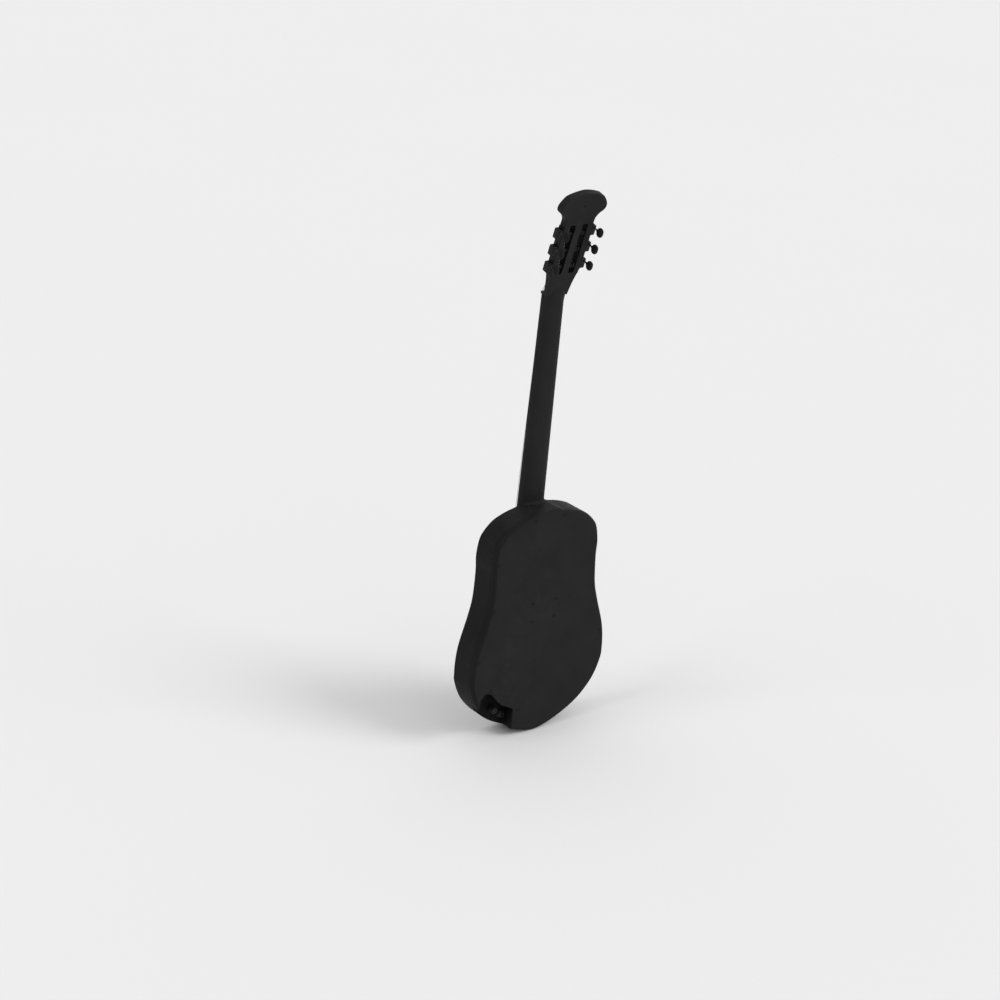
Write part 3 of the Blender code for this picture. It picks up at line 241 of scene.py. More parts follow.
# Side counts and turns that keep the edges of two cuts apart.
GEAR_CUT_SIDES = 42
GEAR_CUT_TURN = 0.031
WORM_CUT_SIDES = 31
WORM_CUT_TURN = 0.083
WORM_R = 2.3
WORM_CORE_R = 1.7
WORM_OFF = 4.6
WORM_TURNS = 3.5
WORM_POINTS = 84
HOUSING_X = 10.0
HOUSING_WALL = 1.2
HOUSING_INSET = 1.0
HOUSING_R = 1.6
WORM_END = 3.0
STEM_R = 1.6
STEM_IN_BUTTON = 4.0
BUTTON_RISE = 16.0
BUTTON_SIZE = (10.0, 18.0, 14.0)
BUTTON_RINGS = 22
BUTTON_POWER = 2.5
BUTTON_SQUARE = 0.86
COLLAR = [(0.05, -1.6), (0.9, -1.6), (1.2, -1.3), (1.2, 0.5), (0.05, 0.5), (0.05, -1.6)]

BRIDGE_HALF = 88.0
BRIDGE_W = 30.0
BRIDGE_BACKSET = 5.0
BRIDGE_WING_H = 9.0
BRIDGE_CORE_HALF = 42.0
BRIDGE_CORE_H = 15.0
BRIDGE_SWELL = 6.0
BRIDGE_TIP = [(0.0, 5.0), (1.2, 6.6), (4.0, 7.6)]    # distance in, height
SADDLE_HALF = 38.0
SADDLE_T = 2.8
SADDLE_SEAT_D = 9.0
PIEZO_T = 1.4
TROUGH_DROP = 9.0
TROUGH_W = 7.0
TROUGH_D = 6.0
TIE_DEPTH = 4.0
TIE_HOLE_R = 1.1
STRING_SPAN_BRIDGE = 58.0
STRING_SPAN_NUT = 36.0
STRING_R = [0.55, 0.45, 0.40, 0.50, 0.42, 0.36]
WOUND_STRINGS = 3
WRAP_TURNS = 2
WRAP_POINTS = 48
WRAP_PITCH = 1.7
WRAP_START = math.radians(-100)

RIM_FRONT_Y = FRONT_Y + TOP_T + GAP
COVER_Y = BACK_Y - COVER_D
RIM_BACK_Y = COVER_Y - GAP
LEDGE_Y = RIM_BACK_Y - LEDGE_T
LINING_Y = RIM_FRONT_Y + LINING_T
UNDER_SKIN_Y = BACK_Y - SKIN_T - GAP
FLOOR_Y = BACK_Y - RECESS_D
# An eased seam: distance from it, how far the outline is grown there
EASED = [(0.0, -EASE), (EASE / 2, -EASE / 4), (EASE, 0.0)]
NECK_L = SCALE_L * (1 - 2 ** (-CLEAR_FRETS / 12))
ROOT_Y = FRONT_Y - BOARD_LIFT
BRIDGE_Y = FRONT_Y - GAP
TIE_Y = BRIDGE_Y - BRIDGE_CORE_H + TIE_DEPTH
PLATE_X = HEAD_HALF + GAP
GEAR_X = PLATE_X + PLATE_T
ROLLER_S = [WORM_S - CENTRE_DIST + TUNER_PITCH * i for i in range(3)]
SLOT_LO = ROLLER_S[0] - SLOT_BEFORE
SLOT_HI = ROLLER_S[-1] + SLOT_AFTER
NUT_Z = BODY_L + NECK_L * math.cos(NECK_PITCH)
SADDLE_Z = NUT_Z - SCALE_L * math.cos(NECK_PITCH)
BACK_TURN = Matrix.Rotation(-math.pi / 2, 4, "X")


# Outlines

def catmull(points, steps):
    """Closed smooth outline through a few points."""
    out = []
    count = len(points)
    for i in range(count):
        p0, p1, p2, p3 = (Vector(points[(i + k - 1) % count]) for k in range(4))
        for step in range(steps):
            t = step / steps
            bend = (2 * p0 - 5 * p1 + 4 * p2 - p3) * t * t + (3 * p1 - p0 - 3 * p2 + p3) * t ** 3
            out.append(tuple(0.5 * (2 * p1 + (p2 - p0) * t + bend)))
    return out


def between(start, end, shape):
    """Points at given shares of the way across and up from one place to another."""
    return [(start[0] + (end[0] - start[0]) * across, start[1] + (end[1] - start[1]) * up)
            for across, up in shape]


def mirrored(right):
    """The same points on the other side, in the opposite order."""
    return [(-x, z) for x, z in reversed(right)]


def grown(loop, distance):
    """Anticlockwise loop moved outward, point for point."""
    if not distance:
        return loop
    out = []
    for i, place in enumerate(loop):
        here = Vector(place)
        first = (here - Vector(loop[i - 1])).normalized()
        second = (Vector(loop[(i + 1) % len(loop)]) - here).normalized()
        side = Vector((first.y, -first.x))
        normal = (side + Vector((second.y, -second.x))).normalized()
        out.append(tuple(here + normal * distance / max(0.5, normal.dot(side))))
    return out


def loop_distance(place, loop):
    """Least distance from a place to the edges of a closed loop."""
    best = math.inf
    for start, end in zip(loop, loop[1:] + loop[:1]):
        edge = Vector(end) - Vector(start)
        share = (place - Vector(start)).dot(edge) / max(edge.length_squared, 1e-12)
        nearest = Vector(start) + edge * min(1.0, max(0.0, share))
        best = min(best, (place - nearest).length)
    return best


def inset(loop, distance):
    """Loop drawn in by a distance, without the points that the move would fold over."""
    return [place for place in grown(loop, -distance)
            if loop_distance(Vector(place), loop) > distance - NEAR]


def rounded(corners, steps=8):
    """Polygon whose corners, given with a radius each, are rounded by arcs."""
    out = []
    for i, (corner, radius) in enumerate(corners):
        here = Vector(corner)
        if radius == 0:
            out.append(corner)
            continue
        to_before = (Vector(corners[i - 1][0]) - here).normalized()
        to_after = (Vector(corners[(i + 1) % len(corners)][0]) - here).normalized()
        half = to_before.angle(to_after) / 2
        start = here + to_before * radius / math.tan(half)
        end = here + to_after * radius / math.tan(half)
        centre = here + (to_before + to_after).normalized() * radius / math.sin(half)
        sweep = (start - centre).angle_signed(end - centre)
        for step in range(steps + 1):
            turn = Matrix.Rotation(-sweep * step / steps, 2)
            out.append(tuple(centre + turn @ (start - centre)))
    return out


def polar(reach, angle):
    """Place at a distance and an angle from the middle."""
    return reach * math.cos(angle), reach * math.sin(angle)


def circle(centre, radius, sides=32):
    """Points round a circle, anticlockwise."""
    places = [polar(radius, 2 * math.pi * i / sides) for i in range(sides)]
    return [(centre[0] + x, centre[1] + z) for x, z in places]


def rectangle(x0, z0, x1, z1):
    """Corners of a rectangle, anticlockwise."""
    return [(x0, z0), (x1, z0), (x1, z1), (x0, z1)]


def body_outline():
    """Outline of the body, anticlockwise from the tail."""
    tail = (TAIL_FLAT_HALF, 0.0)
    top = (ROOT_FLAT_HALF, BODY_L)
    right = [tail, *between(tail, LOWER, TAIL_SHAPE), LOWER, *between(LOWER, WAIST, SIDE_SHAPE),
             WAIST, UPPER, *between(UPPER, top, SHOULDER_SHAPE), top]
    points = right + mirrored(right)
    flats = (len(right) - 1, len(points) - 1)
    curved = catmull(points, OUTLINE_STEPS)
    return [(max(-LOWER[0], min(LOWER[0], x)), min(BODY_L, max(0.0, z)))
            for i, (x, z) in enumerate(curved)
            if i // OUTLINE_STEPS not in flats or i % OUTLINE_STEPS == 0]


def cover_screw_places():
    """Places of the back's edge screws in the order of their nodes."""
    places = []
    for i in range(COVER_SCREWS):
        low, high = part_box(f"cover_screw_{i + 1}")
        places.append(((low.x + high.x) / 2 / MM, (low.z + high.z) / 2 / MM))
    return places


def tray_screw_places():
    """Places of the tray's four screws in the order of their nodes."""
    return [(across * TRAY_SCREWS[0], TRAY_Z + up * TRAY_SCREWS[1])
            for across in (-1, 1) for up in (-1, 1)]


def head_outline():
    """Outline of the head from the nut up, with its two ears, anticlockwise."""
    foot = (NUT_HALF + THROAT_OUT, -THROAT_BACK)
    wide = (HEAD_HALF, HEAD_WIDE_S)
    start = (HEAD_HALF, EAR_START_S)
    ear = (EAR_HALF, EAR_S)
    peak = (0.0, HEAD_PEAK)
    bend = [start, *between(start, ear, EAR_SHAPE), ear, *between(ear, peak, CROWN_SHAPE)]
    curved = catmull([wide, *bend, peak, *mirrored(bend)[:1]], EAR_STEPS)
    throat = [foot, *between(foot, wide, THROAT_SHAPE), wide]
    below = (foot[0] - THROAT_LEAD[0], foot[1] - THROAT_LEAD[1])
    smooth = catmull([below, *throat, (HEAD_HALF, STRAIGHT_S)], EAR_STEPS)
    right = (smooth[EAR_STEPS:EAR_STEPS * (len(throat) + 1)]
             + curved[EAR_STEPS:EAR_STEPS * (len(bend) + 1)])
    right = [(min(x, EAR_HALF), s) for x, s in right if x > PEAK_CLEAR]
    return right + [peak] + mirrored(right)


# Frames

def neck_y(z):
    """Depth of the fretboard's face at a height."""
    return ROOT_Y + (z - BODY_L) * math.tan(NECK_PITCH)


def shift(x, y, z):
    """Move by millimetres."""
    return Matrix.Translation(Vector((x, y, z)) * MM)


def spin(angle, axis="Z"):
    """Turn about an axis."""
    return Matrix.Rotation(angle, 4, axis)


def neck_frame():
    """Frame on the fretboard's face at the nut: Y out of the back, Z up the neck."""
    return shift(0, neck_y(NUT_Z), NUT_Z) @ spin(-NECK_PITCH, "X")


def head_frame():
    """Frame on the head's back face at the nut: Y out of the back, Z up the head."""
    spot = neck_frame() @ Vector((0, (BOARD_T + NECK_T_NUT) * MM, 0))
    return Matrix.Translation(spot) @ spin(-HEAD_ANGLE, "X")


def back_axis(place, y):
    """Frame at a place in the body whose third axis points out of the back."""
    return shift(place[0], y, place[1]) @ BACK_TURN


def roller_frame(side, s):
    """Frame on a roller's axis at the head's middle line, third axis outward."""
    return HEAD @ shift(0, -HEAD_T / 2, s) @ spin(side * math.pi / 2, "Y")


def worm_frame(side, s):
    """Frame on a worm's axis, level with the head's back face, third axis out of the back."""
    return HEAD @ shift(side * (HEAD_HALF + PLATE_T + WORM_OFF), 0, s + CENTRE_DIST) @ BACK_TURN


# Mesh tools

def mesh_object(name, bm, matrix=None):
    """Object from a bmesh, its place worked into the mesh."""
    if matrix is not None:
        bm.transform(matrix)
    bmesh.ops.recalc_face_normals(bm, faces=bm.faces)
    mesh = bpy.data.meshes.new(name)
    bm.to_mesh(mesh)
    bm.free()
    obj = bpy.data.objects.new(name, mesh)
    bpy.context.scene.collection.objects.link(obj)
    return obj


def loft(name, sections, matrix=None, closed=False):
    """Solid through closed sections in millimetres that have the same number of points."""
    bm = bmesh.new()
    rings = [[bm.verts.new(Vector(place) * MM) for place in section] for section in sections]
    pairs = list(zip(rings[:-1], rings[1:]))
    if closed:
        pairs.append((rings[-1], rings[0]))
    for lower, upper in pairs:
        for i, start in enumerate(lower):
            j = (i + 1) % len(lower)
            bm.faces.new((start, lower[j], upper[j], upper[i]))
    if not closed:
        bm.faces.new(rings[0][::-1])
        bm.faces.new(rings[-1])
    return mesh_object(name, bm, matrix)


def stack(name, loop, levels, matrix=None):
    """Solid from one outline at several depths, each given with how far it is grown."""
    return loft(name, [[(x, y, z) for x, z in grown(loop, grow)] for y, grow in levels], matrix)


def arc_levels(face, radius, out, steps=6):
    """Depths and insets round one rounded edge, from the side to the face."""
    levels = []
    for step in range(steps + 1):
        angle = math.pi / 2 * step / steps
        levels.append((face - out * radius * (1 - math.sin(angle)),
                       -radius * (1 - math.cos(angle))))
    return levels


def slab(name, loop, low, high, low_r=0.0, high_r=0.0, matrix=None, steps=4):
    """Solid between two depths with rounded edges."""
    first = arc_levels(low, low_r, -1, steps)[::-1] if low_r else [(low, 0.0)]
    last = arc_levels(high, high_r, 1, steps) if high_r else [(high, 0.0)]
    return stack(name, loop, first + last, matrix)


def turned(name, profile, sides, matrix):
    """Profile of radius and height pairs turned about the frame's third axis."""
    bm = bmesh.new()
    rings = []
    for radius, height in profile:
        if radius == 0:
            rings.append([bm.verts.new((0, 0, height * MM))])
        else:
            rings.append([bm.verts.new((x * MM, y * MM, height * MM))
                          for x, y in circle((0, 0), radius, sides)])
    for lower, upper in zip(rings[:-1], rings[1:]):
        for i in range(sides):
            j = (i + 1) % sides
            corners = [lower[i % len(lower)], lower[j % len(lower)],
                       upper[j % len(upper)], upper[i % len(upper)]]
            bm.faces.new(list(dict.fromkeys(corners)))
    return mesh_object(name, bm, matrix)


def box(name, size, centre, matrix=None, ease=0.0, segments=3):
    """Block with eased edges."""
    bm = bmesh.new()
    bmesh.ops.create_cube(bm, size=1.0)
    bmesh.ops.scale(bm, verts=bm.verts, vec=Vector(size) * MM)
    bmesh.ops.translate(bm, verts=bm.verts, vec=Vector(centre) * MM)
    if ease:
        bmesh.ops.bevel(bm, geom=bm.edges[:], offset=ease * MM, segments=segments, profile=0.5,
                        affect="EDGES")
    return mesh_object(name, bm, matrix)


def bar(name, radius, low, high, matrix, sides=24):
    """Round bar along the frame's third axis."""
    return turned(name, [(0.0, low), (radius, low), (radius, high), (0.0, high)], sides, matrix)


def evaluated(obj):
    """Mesh of an object with its modifiers or its curve worked out."""
    bpy.context.view_layer.update()
    return bpy.data.meshes.new_from_object(obj.evaluated_get(bpy.context.evaluated_depsgraph_get()))


def boolean(obj, cutter, operation="DIFFERENCE"):
    """Cut, join or clip with another solid, which is then removed."""
    modifier = obj.modifiers.new("cut", "BOOLEAN")
    modifier.operation = operation
    modifier.object = cutter
    modifier.solver = "EXACT"
    mesh = evaluated(obj)
    obj.modifiers.clear()
    obj.data = mesh
    bpy.data.objects.remove(cutter)
    return obj


def mend(obj):
    """Weld the tiny gaps that a join can leave, close what stays open and face it outwards."""
    bm = bmesh.new()
    bm.from_mesh(obj.data)
    bmesh.ops.remove_doubles(bm, verts=bm.verts, dist=WELD * MM)
    bmesh.ops.dissolve_degenerate(bm, edges=bm.edges, dist=WELD * MM)
    bmesh.ops.holes_fill(bm, edges=bm.edges, sides=HOLE_SIDES)
    if bm.calc_volume(signed=True) < 0:
        bmesh.ops.reverse_faces(bm, faces=bm.faces)
    bm.to_mesh(obj.data)
    bm.free()
    return obj


def joined(name, objects):
    """One object from several, each keeping its own faces."""
    bm = bmesh.new()
    for obj in objects:
        bm.from_mesh(obj.data)
        bpy.data.objects.remove(obj)
    return mesh_object(name, bm)


def drill(obj, radius, low, high, matrix, sides=24):
    """Cut a round hole along the frame's third axis."""
    return boolean(obj, bar("hole", radius, low, high, matrix, sides))


def sink(obj, radius, depth, chamfer, matrix):
    """Cut a round blind hole with a chamfered mouth, down from the frame's origin."""
    profile = [(0.0, -depth), (radius, -depth), (radius, -chamfer),
               (radius + chamfer + PAST, PAST), (0.0, PAST)]
    return boolean(obj, turned("seat", profile, 32, matrix))


def cross_slot(screw, size, depth, turn, matrix):
    """Cut the two arms of a cross recess into a screw's head."""
    for quarter in (0.0, math.pi / 2):
        boolean(screw, box("arm", size, (0, 0, -depth), matrix @ spin(turn + quarter)))
    return screw


def tube(name, points, radius, resolution=4):
    """Round wire through points in millimetres, as a mesh with closed ends."""
    curve = bpy.data.curves.new(name, "CURVE")
    curve.dimensions = "3D"
    curve.bevel_depth = radius * MM
    curve.bevel_resolution = resolution
    curve.use_fill_caps = True
    spline = curve.splines.new("POLY")
    spline.points.add(len(points) - 1)
    for point, place in zip(spline.points, points):
        point.co = (*(Vector(place) * MM), 1.0)
    wire = bpy.data.objects.new(name, curve)
    bpy.context.scene.collection.objects.link(wire)
    mesh = evaluated(wire)
    bpy.data.objects.remove(wire)
    bm = bmesh.new()
    bm.from_mesh(mesh)
    bmesh.ops.remove_doubles(bm, verts=bm.verts, dist=CAP_WELD)
    return mesh_object(name, bm)


def place(obj, material, body, slot, *nodes, angle=35, flat=False):
    """Give a piece its finish, its smooth shading and its body, and hide the nodes it replaces;
    slot is not used.
    """
    obj.data.materials.clear()
    obj.data.materials.append(material)
    if not flat:
        obj.data.shade_smooth()
        obj.data.set_sharp_from_angle(angle=math.radians(angle))
        weighted = obj.modifiers.new("face_weights", "WEIGHTED_NORMAL")
        weighted.keep_sharp = True
    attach(obj, body)
    if nodes:
        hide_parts(*nodes)
    return obj


# Materials

def fill(node, **values):
    """Set a node's inputs by name, an underscore for each space."""
    for name, value in values.items():
        node.inputs[name.replace("_", " ")].default_value = value
    return node


class Finish:
    """A procedural material: one Principled shader and the nodes that feed it."""

    def __init__(self, name, roughness=0.5, metallic=0.0, specular=0.5):
        self.material = bpy.data.materials.new(name)
        self.material.use_nodes = True
        self.tree = self.material.node_tree
        self.shader = fill(self.tree.nodes["Principled BSDF"], Roughness=roughness,
                           Metallic=metallic, Specular_IOR_Level=specular)
        self.where = self.node("TexCoord").outputs["Object"]

    def node(self, kind, **values):
        """New node with its inputs set."""
        return fill(self.tree.nodes.new(f"ShaderNode{kind}"), **values)

    def link(self, source, target):
        self.tree.links.new(source, target)

    def textured(self, node, stretch):
        """Strength of a texture node laid over object coordinates, in metres, scaled by axis."""
        mapping = self.node("Mapping", Scale=stretch)
        self.link(self.where, mapping.inputs["Vector"])
        self.link(mapping.outputs["Vector"], node.inputs["Vector"])
        return node.outputs["Fac"]

    def noise(self, scale, detail=6.0, rough=0.55, stretch=(1.0, 1.0, 1.0), distortion=0.0):
        return self.textured(self.node("TexNoise", Scale=scale, Detail=detail, Roughness=rough,
                                       Distortion=distortion), stretch)

    def wave(self, scale, axis, distortion=0.0, stretch=(1.0, 1.0, 1.0)):
        node = self.node("TexWave", Scale=scale, Distortion=distortion, Detail=3.0)
        node.bands_direction = axis
        return self.textured(node, stretch)

    def ramp(self, factor, stops):
        node = self.node("ValToRGB")
        elements = node.color_ramp.elements
        while len(elements) < len(stops):
            elements.new(0.5)
        for element, (position, colour) in zip(elements, stops):
            element.position = position
            element.color = (*colour, 1.0)
        self.link(factor, node.inputs["Fac"])
        return node.outputs["Color"]

    def spread(self, factor, low, high, from_low=0.3, from_high=0.7):
        node = self.node("MapRange", From_Min=from_low, From_Max=from_high, To_Min=low,
                         To_Max=high)
        self.link(factor, node.inputs["Value"])
        return node.outputs["Result"]

    def mixed(self, factor, first, second, blend="MIX"):
        """Two colours mixed by a number or by an output."""
        node = self.node("Mix")
        node.data_type = "RGBA"
        node.blend_type = blend
        for socket, value in ((node.inputs[0], factor), (node.inputs[6], first),
                              (node.inputs[7], second)):
            if isinstance(value, tuple):
                socket.default_value = (*value, 1.0)
            elif isinstance(value, float):
                socket.default_value = value
            else:
                self.link(value, socket)
        return node.outputs[2]

    def worn(self, colour, bare, start=0.53, end=0.60, strength=0.5):
        """Colour with its convex edges rubbed lighter, broken up by noise."""
        edge = self.node("NewGeometry").outputs["Pointiness"]
        rubbed = self.spread(edge, 0.0, strength, start, end)
        patchy = self.spread(self.noise(90.0, 8.0), 0.0, 1.0, 0.42, 0.62)
        both = self.node("Math")
        both.operation = "MULTIPLY"
        self.link(rubbed, both.inputs[0])
        self.link(patchy, both.inputs[1])
        return self.mixed(both.outputs[0], colour, bare)

    def bumps(self, *layers):
        """Stack of bumps, each a height with its distance in millimetres and its strength."""
        normal = None
        for height, distance, strength in layers:
            node = self.node("Bump", Strength=strength, Distance=distance * MM)
            self.link(height, node.inputs["Height"])
            if normal is not None:
                self.link(normal, node.inputs["Normal"])
            normal = node.outputs["Normal"]
        self.link(normal, self.shader.inputs["Normal"])

    def finish(self, colour, rough=None):
        self.link(colour, self.shader.inputs["Base Color"])
        if rough is not None:
            self.link(rough, self.shader.inputs["Roughness"])
        return self.material


def satin_black(name, low=0.0166, high=0.0202, rough=(0.42, 0.54), grain=None):
    """Black satin lacquer: faint mottling, orange peel, dust in the roughness, rubbed edges."""
    made = Finish(name, specular=0.03)
    cloud = made.noise(14.0, 5.0)
    colour = made.ramp(cloud, [(0.35, (low, low, low * 1.06)), (0.68, (high, high, high * 1.05))])
    colour = made.worn(colour, (0.045, 0.045, 0.046))
    layers = [(made.noise(1400.0, 2.0), 0.02, 0.35), (made.noise(260.0, 3.0), 0.03, 0.2)]
    if grain:
        fibres = made.noise(30.0, 8.0, 0.65, grain, 0.4)
        layers.append((fibres, 0.06, 0.3))
    made.bumps(*layers)
    return made.finish(colour, made.spread(made.noise(46.0, 9.0, 0.7), *rough))


def black_metal(name, base=0.016, rough=(0.26, 0.42), wear=0.7):
    """Black plated metal with fine brushing and bright wear on its corners."""
    made = Finish(name, metallic=0.75, specular=0.5)
    colour = made.ramp(made.noise(120.0, 5.0), [(0.3, (base, base, base)),
                                                (0.7, (base * 1.7, base * 1.7, base * 1.75))])
    colour = made.worn(colour, (0.16, 0.155, 0.15), 0.52, 0.58, wear)
    made.bumps((made.noise(500.0, 3.0, 0.6, (1.0, 0.08, 1.0)), 0.01, 0.35))
    return made.finish(colour, made.spread(made.noise(220.0, 6.0), *rough))


def bright_metal(name, colour, rough=(0.18, 0.34)):
    """Plain metal with fine scratches and faint tarnish."""
    made = Finish(name, metallic=1.0)
    dull = tuple(0.62 * part for part in colour)
    tone = made.ramp(made.noise(160.0, 6.0), [(0.28, dull), (0.6, colour)])
    made.bumps((made.noise(900.0, 3.0, 0.6, (0.1, 1.0, 1.0)), 0.008, 0.4))
    return made.finish(tone, made.spread(made.noise(320.0, 7.0), *rough))


def dark_wood(name, dark, light, stretch=(1.0, 1.0, 0.06), rough=(0.42, 0.6)):
    """Close-grained dark wood with pores along the grain."""
    made = Finish(name, specular=0.1)
    streaks = made.noise(130.0, 9.0, 0.62, stretch, 0.8)
    pores = made.noise(900.0, 2.0, 0.5, stretch)
    colour = made.ramp(streaks, [(0.3, dark), (0.52, light), (0.72, dark)])
    hollow = made.ramp(pores, [(0.36, tuple(0.35 * part for part in dark)),
                               (0.46, (1.0, 1.0, 1.0))])
    made.bumps((pores, 0.05, 0.5), (streaks, 0.04, 0.3))
    return made.finish(made.mixed(0.7, colour, hollow, "MULTIPLY"),
                       made.spread(streaks, *rough))


def pale_wood(name, stretch):
    """Unfinished spruce or cedar, with growth lines and a soft mottling."""
    made = Finish(name, specular=0.25)
    lines = made.wave(95.0, "X", 2.2, stretch)
    mottle = made.noise(22.0, 7.0, 0.6, stretch)
    colour = made.mixed(made.spread(lines, 0.0, 0.6, 0.2, 0.95), (0.42, 0.27, 0.14),
                        (0.26, 0.15, 0.07))
    colour = made.mixed(made.spread(mottle, 0.0, 0.5), colour, (0.33, 0.2, 0.1))
    made.bumps((lines, 0.05, 0.3), (made.noise(800.0, 4.0, 0.6, stretch), 0.04, 0.4))
    return made.finish(colour, made.spread(mottle, 0.6, 0.8))


def moulded(name, dark, rough=(0.4, 0.55), grain=900.0, specular=0.35):
    """Moulded black plastic with a fine spark-eroded texture."""
    made = Finish(name, specular=specular)
    light = tuple(1.6 * part for part in dark)
    colour = made.ramp(made.noise(60.0, 4.0), [(0.35, dark), (0.7, light)])
    colour = made.worn(colour, tuple(4 * part for part in dark), 0.53, 0.6, 0.4)
    made.bumps((made.noise(grain, 3.0), 0.04, 0.4))
    return made.finish(colour, made.spread(made.noise(140.0, 6.0), *rough))


def bone(name):
    """Polished bone with faint fibres."""
    made = Finish(name, specular=0.5)
    fibres = made.noise(240.0, 6.0, 0.6, (0.15, 1.0, 1.0), 0.5)
    colour = made.ramp(fibres, [(0.3, (0.62, 0.56, 0.42)), (0.6, (0.78, 0.74, 0.62))])
    fill(made.shader, Subsurface_Weight=0.08, Subsurface_Radius=(0.002, 0.0015, 0.001))
    made.bumps((fibres, 0.02, 0.3))
    return made.finish(colour, made.spread(fibres, 0.28, 0.4))


def wound_wire(name):
    """Black-coated winding: turns round the string, slightly worn."""
    made = Finish(name, metallic=0.7)
    turns = made.wave(1500.0, "Z")
    colour = made.ramp(made.noise(70.0, 5.0), [(0.3, (0.016, 0.0155, 0.015)),
                                               (0.65, (0.036, 0.035, 0.034))])
    made.bumps((turns, 0.06, 0.8))
    return made.finish(colour, made.spread(made.noise(300.0, 4.0), 0.25, 0.4))


def black_nylon(name):
    """Black nylon with a soft shine."""
    made = Finish(name, specular=0.3)
    colour = made.ramp(made.noise(50.0, 4.0), [(0.3, (0.025, 0.025, 0.026)),
                                               (0.7, (0.045, 0.045, 0.047))])
    made.bumps((made.noise(400.0, 3.0), 0.01, 0.3))
    return made.finish(colour, made.spread(made.noise(120.0, 4.0), 0.16, 0.28))


def pearl(name):
    """Shell inlay with soft iridescent clouds."""
    made = Finish(name, specular=0.6)
    cloud = made.noise(420.0, 4.0, 0.5, (1.0, 1.0, 1.0), 1.5)
    colour = made.ramp(cloud, [(0.3, (0.45, 0.5, 0.52)), (0.5, (0.72, 0.7, 0.66)),
                               (0.7, (0.52, 0.6, 0.56))])
    made.bumps((cloud, 0.01, 0.2))
    return made.finish(colour, made.spread(cloud, 0.18, 0.3))


def battery_wrap(name):
    """Printed metal jacket of the battery: two plain bands, no words."""
    made = Finish(name, metallic=0.4, specular=0.5)
    band = made.node("SeparateXYZ")
    made.link(made.where, band.inputs[0])
    colour = made.ramp(made.spread(band.outputs["X"], 0.0, 1.0, -0.026, 0.026),
                       [(0.28, (0.35, 0.2, 0.05)), (0.3, (0.02, 0.02, 0.022))])
    scuffs = made.noise(260.0, 7.0)
    made.bumps((scuffs, 0.02, 0.25))
    return made.finish(colour, made.spread(scuffs, 0.25, 0.45))


# Body

def second_finish(obj, material, wanted):
    """Give the faces that a test picks out a second material."""
    obj.data.materials.append(material)
    for face in obj.data.polygons:
        if wanted(face):
            face.material_index = 1


def make_rim():
    """Side wall with its seats for soundboard and cover, its openings and the heel screw."""
    levels = [(RIM_FRONT_Y + rise, grow) for rise, grow in EASED]
    levels += [(RIM_BACK_Y - rise, grow) for rise, grow in reversed(EASED)]
    rim = stack("side_wall", BODY, levels)
    for depth, low, high in ((LINING_W, RIM_FRONT_Y - PAST, LINING_Y),
                             (WALL_T, LINING_Y - PAST, LEDGE_Y),
                             (LEDGE_W, LEDGE_Y - PAST, RIM_BACK_Y + PAST)):
        boolean(rim, slab("hollow", inset(BODY, depth), low, high))
    boolean(rim, slab("recess_cut", grown(RECESS, BOWL_T + GAP), FLOOR_Y - BOWL_T - GAP,
                      RIM_BACK_Y + PAST))
    boolean(rim, tenon("tenon_cut", GAP))
    axis = shift(HEEL_SCREW_X, HEEL_SCREW_Y, BODY_L)
    sink(rim, HEEL_SCREW_R, HEEL_SCREW_L + GAP, EASE, axis)
    # The side wall gets the darker satin: painted shade on the sides.
    place(rim, SIDE_SHADE_BLACK, "guitar", "body_rim", "body_rim")
    side = HEEL_SCREW_R - HEEL_SCREW_PLAY
    screw = turned("heel_screw", [*HEEL_SCREW_DOME, (side, -1.0), (side, -HEEL_SCREW_L),
                                  (0.0, -HEEL_SCREW_L)], 28, axis)
    cross_slot(screw, *HEEL_SCREW_CROSS, axis)
    place(screw, BLACK_METAL, "guitar", "cover_screws")


def make_soundboard():
    """Front with a softly rounded edge, its soundhole and the inlaid rings round it."""
    levels = arc_levels(FRONT_Y, TOP_R, -1)[::-1] + [(FRONT_Y + TOP_T, 0.0)]
    board = stack("front_board", BODY, levels)
    hole = [(FRONT_Y - PAST, HOLE_EASE + PAST), (FRONT_Y - 0.01, HOLE_EASE + 0.01),
            (FRONT_Y + HOLE_EASE * 0.3, HOLE_EASE * 0.3), (FRONT_Y + HOLE_EASE, 0.0),
            (FRONT_Y + TOP_T + PAST, 0.0)]
    boolean(board, stack("hole", circle((0, HOLE_Z), HOLE_R, RING_SIDES), hole))
    for inner, outer in (*INLAY_RINGS, INLAY_BAND):
        boolean(board, ring_solid("groove", inner - INLAY_PLAY, outer + INLAY_PLAY,
                                  FRONT_Y - PAST, FRONT_Y + INLAY_SEAT))
    place(board, SHELL, "guitar", "soundboard", "soundboard")
    inlay_y = (FRONT_Y, FRONT_Y + INLAY_T)
    rings = [ring_solid("ring", *ring, *inlay_y) for ring in INLAY_RINGS]
    place(joined("rosette_rings", rings), PEARL, "guitar", "soundboard")
    place(ring_solid("rosette_band", *INLAY_BAND, *inlay_y), EBONY, "guitar", "soundboard")


def ring_solid(name, inner, outer, low, high):
    """Flat ring round the soundhole."""
    corners = ((inner, low), (outer, low), (outer, high), (inner, high))
    sections = [[(x * reach, y, HOLE_Z + z * reach) for reach, y in corners]
                for x, z in circle((0, 0), 1.0, RING_SIDES)]
    return loft(name, sections, closed=True)


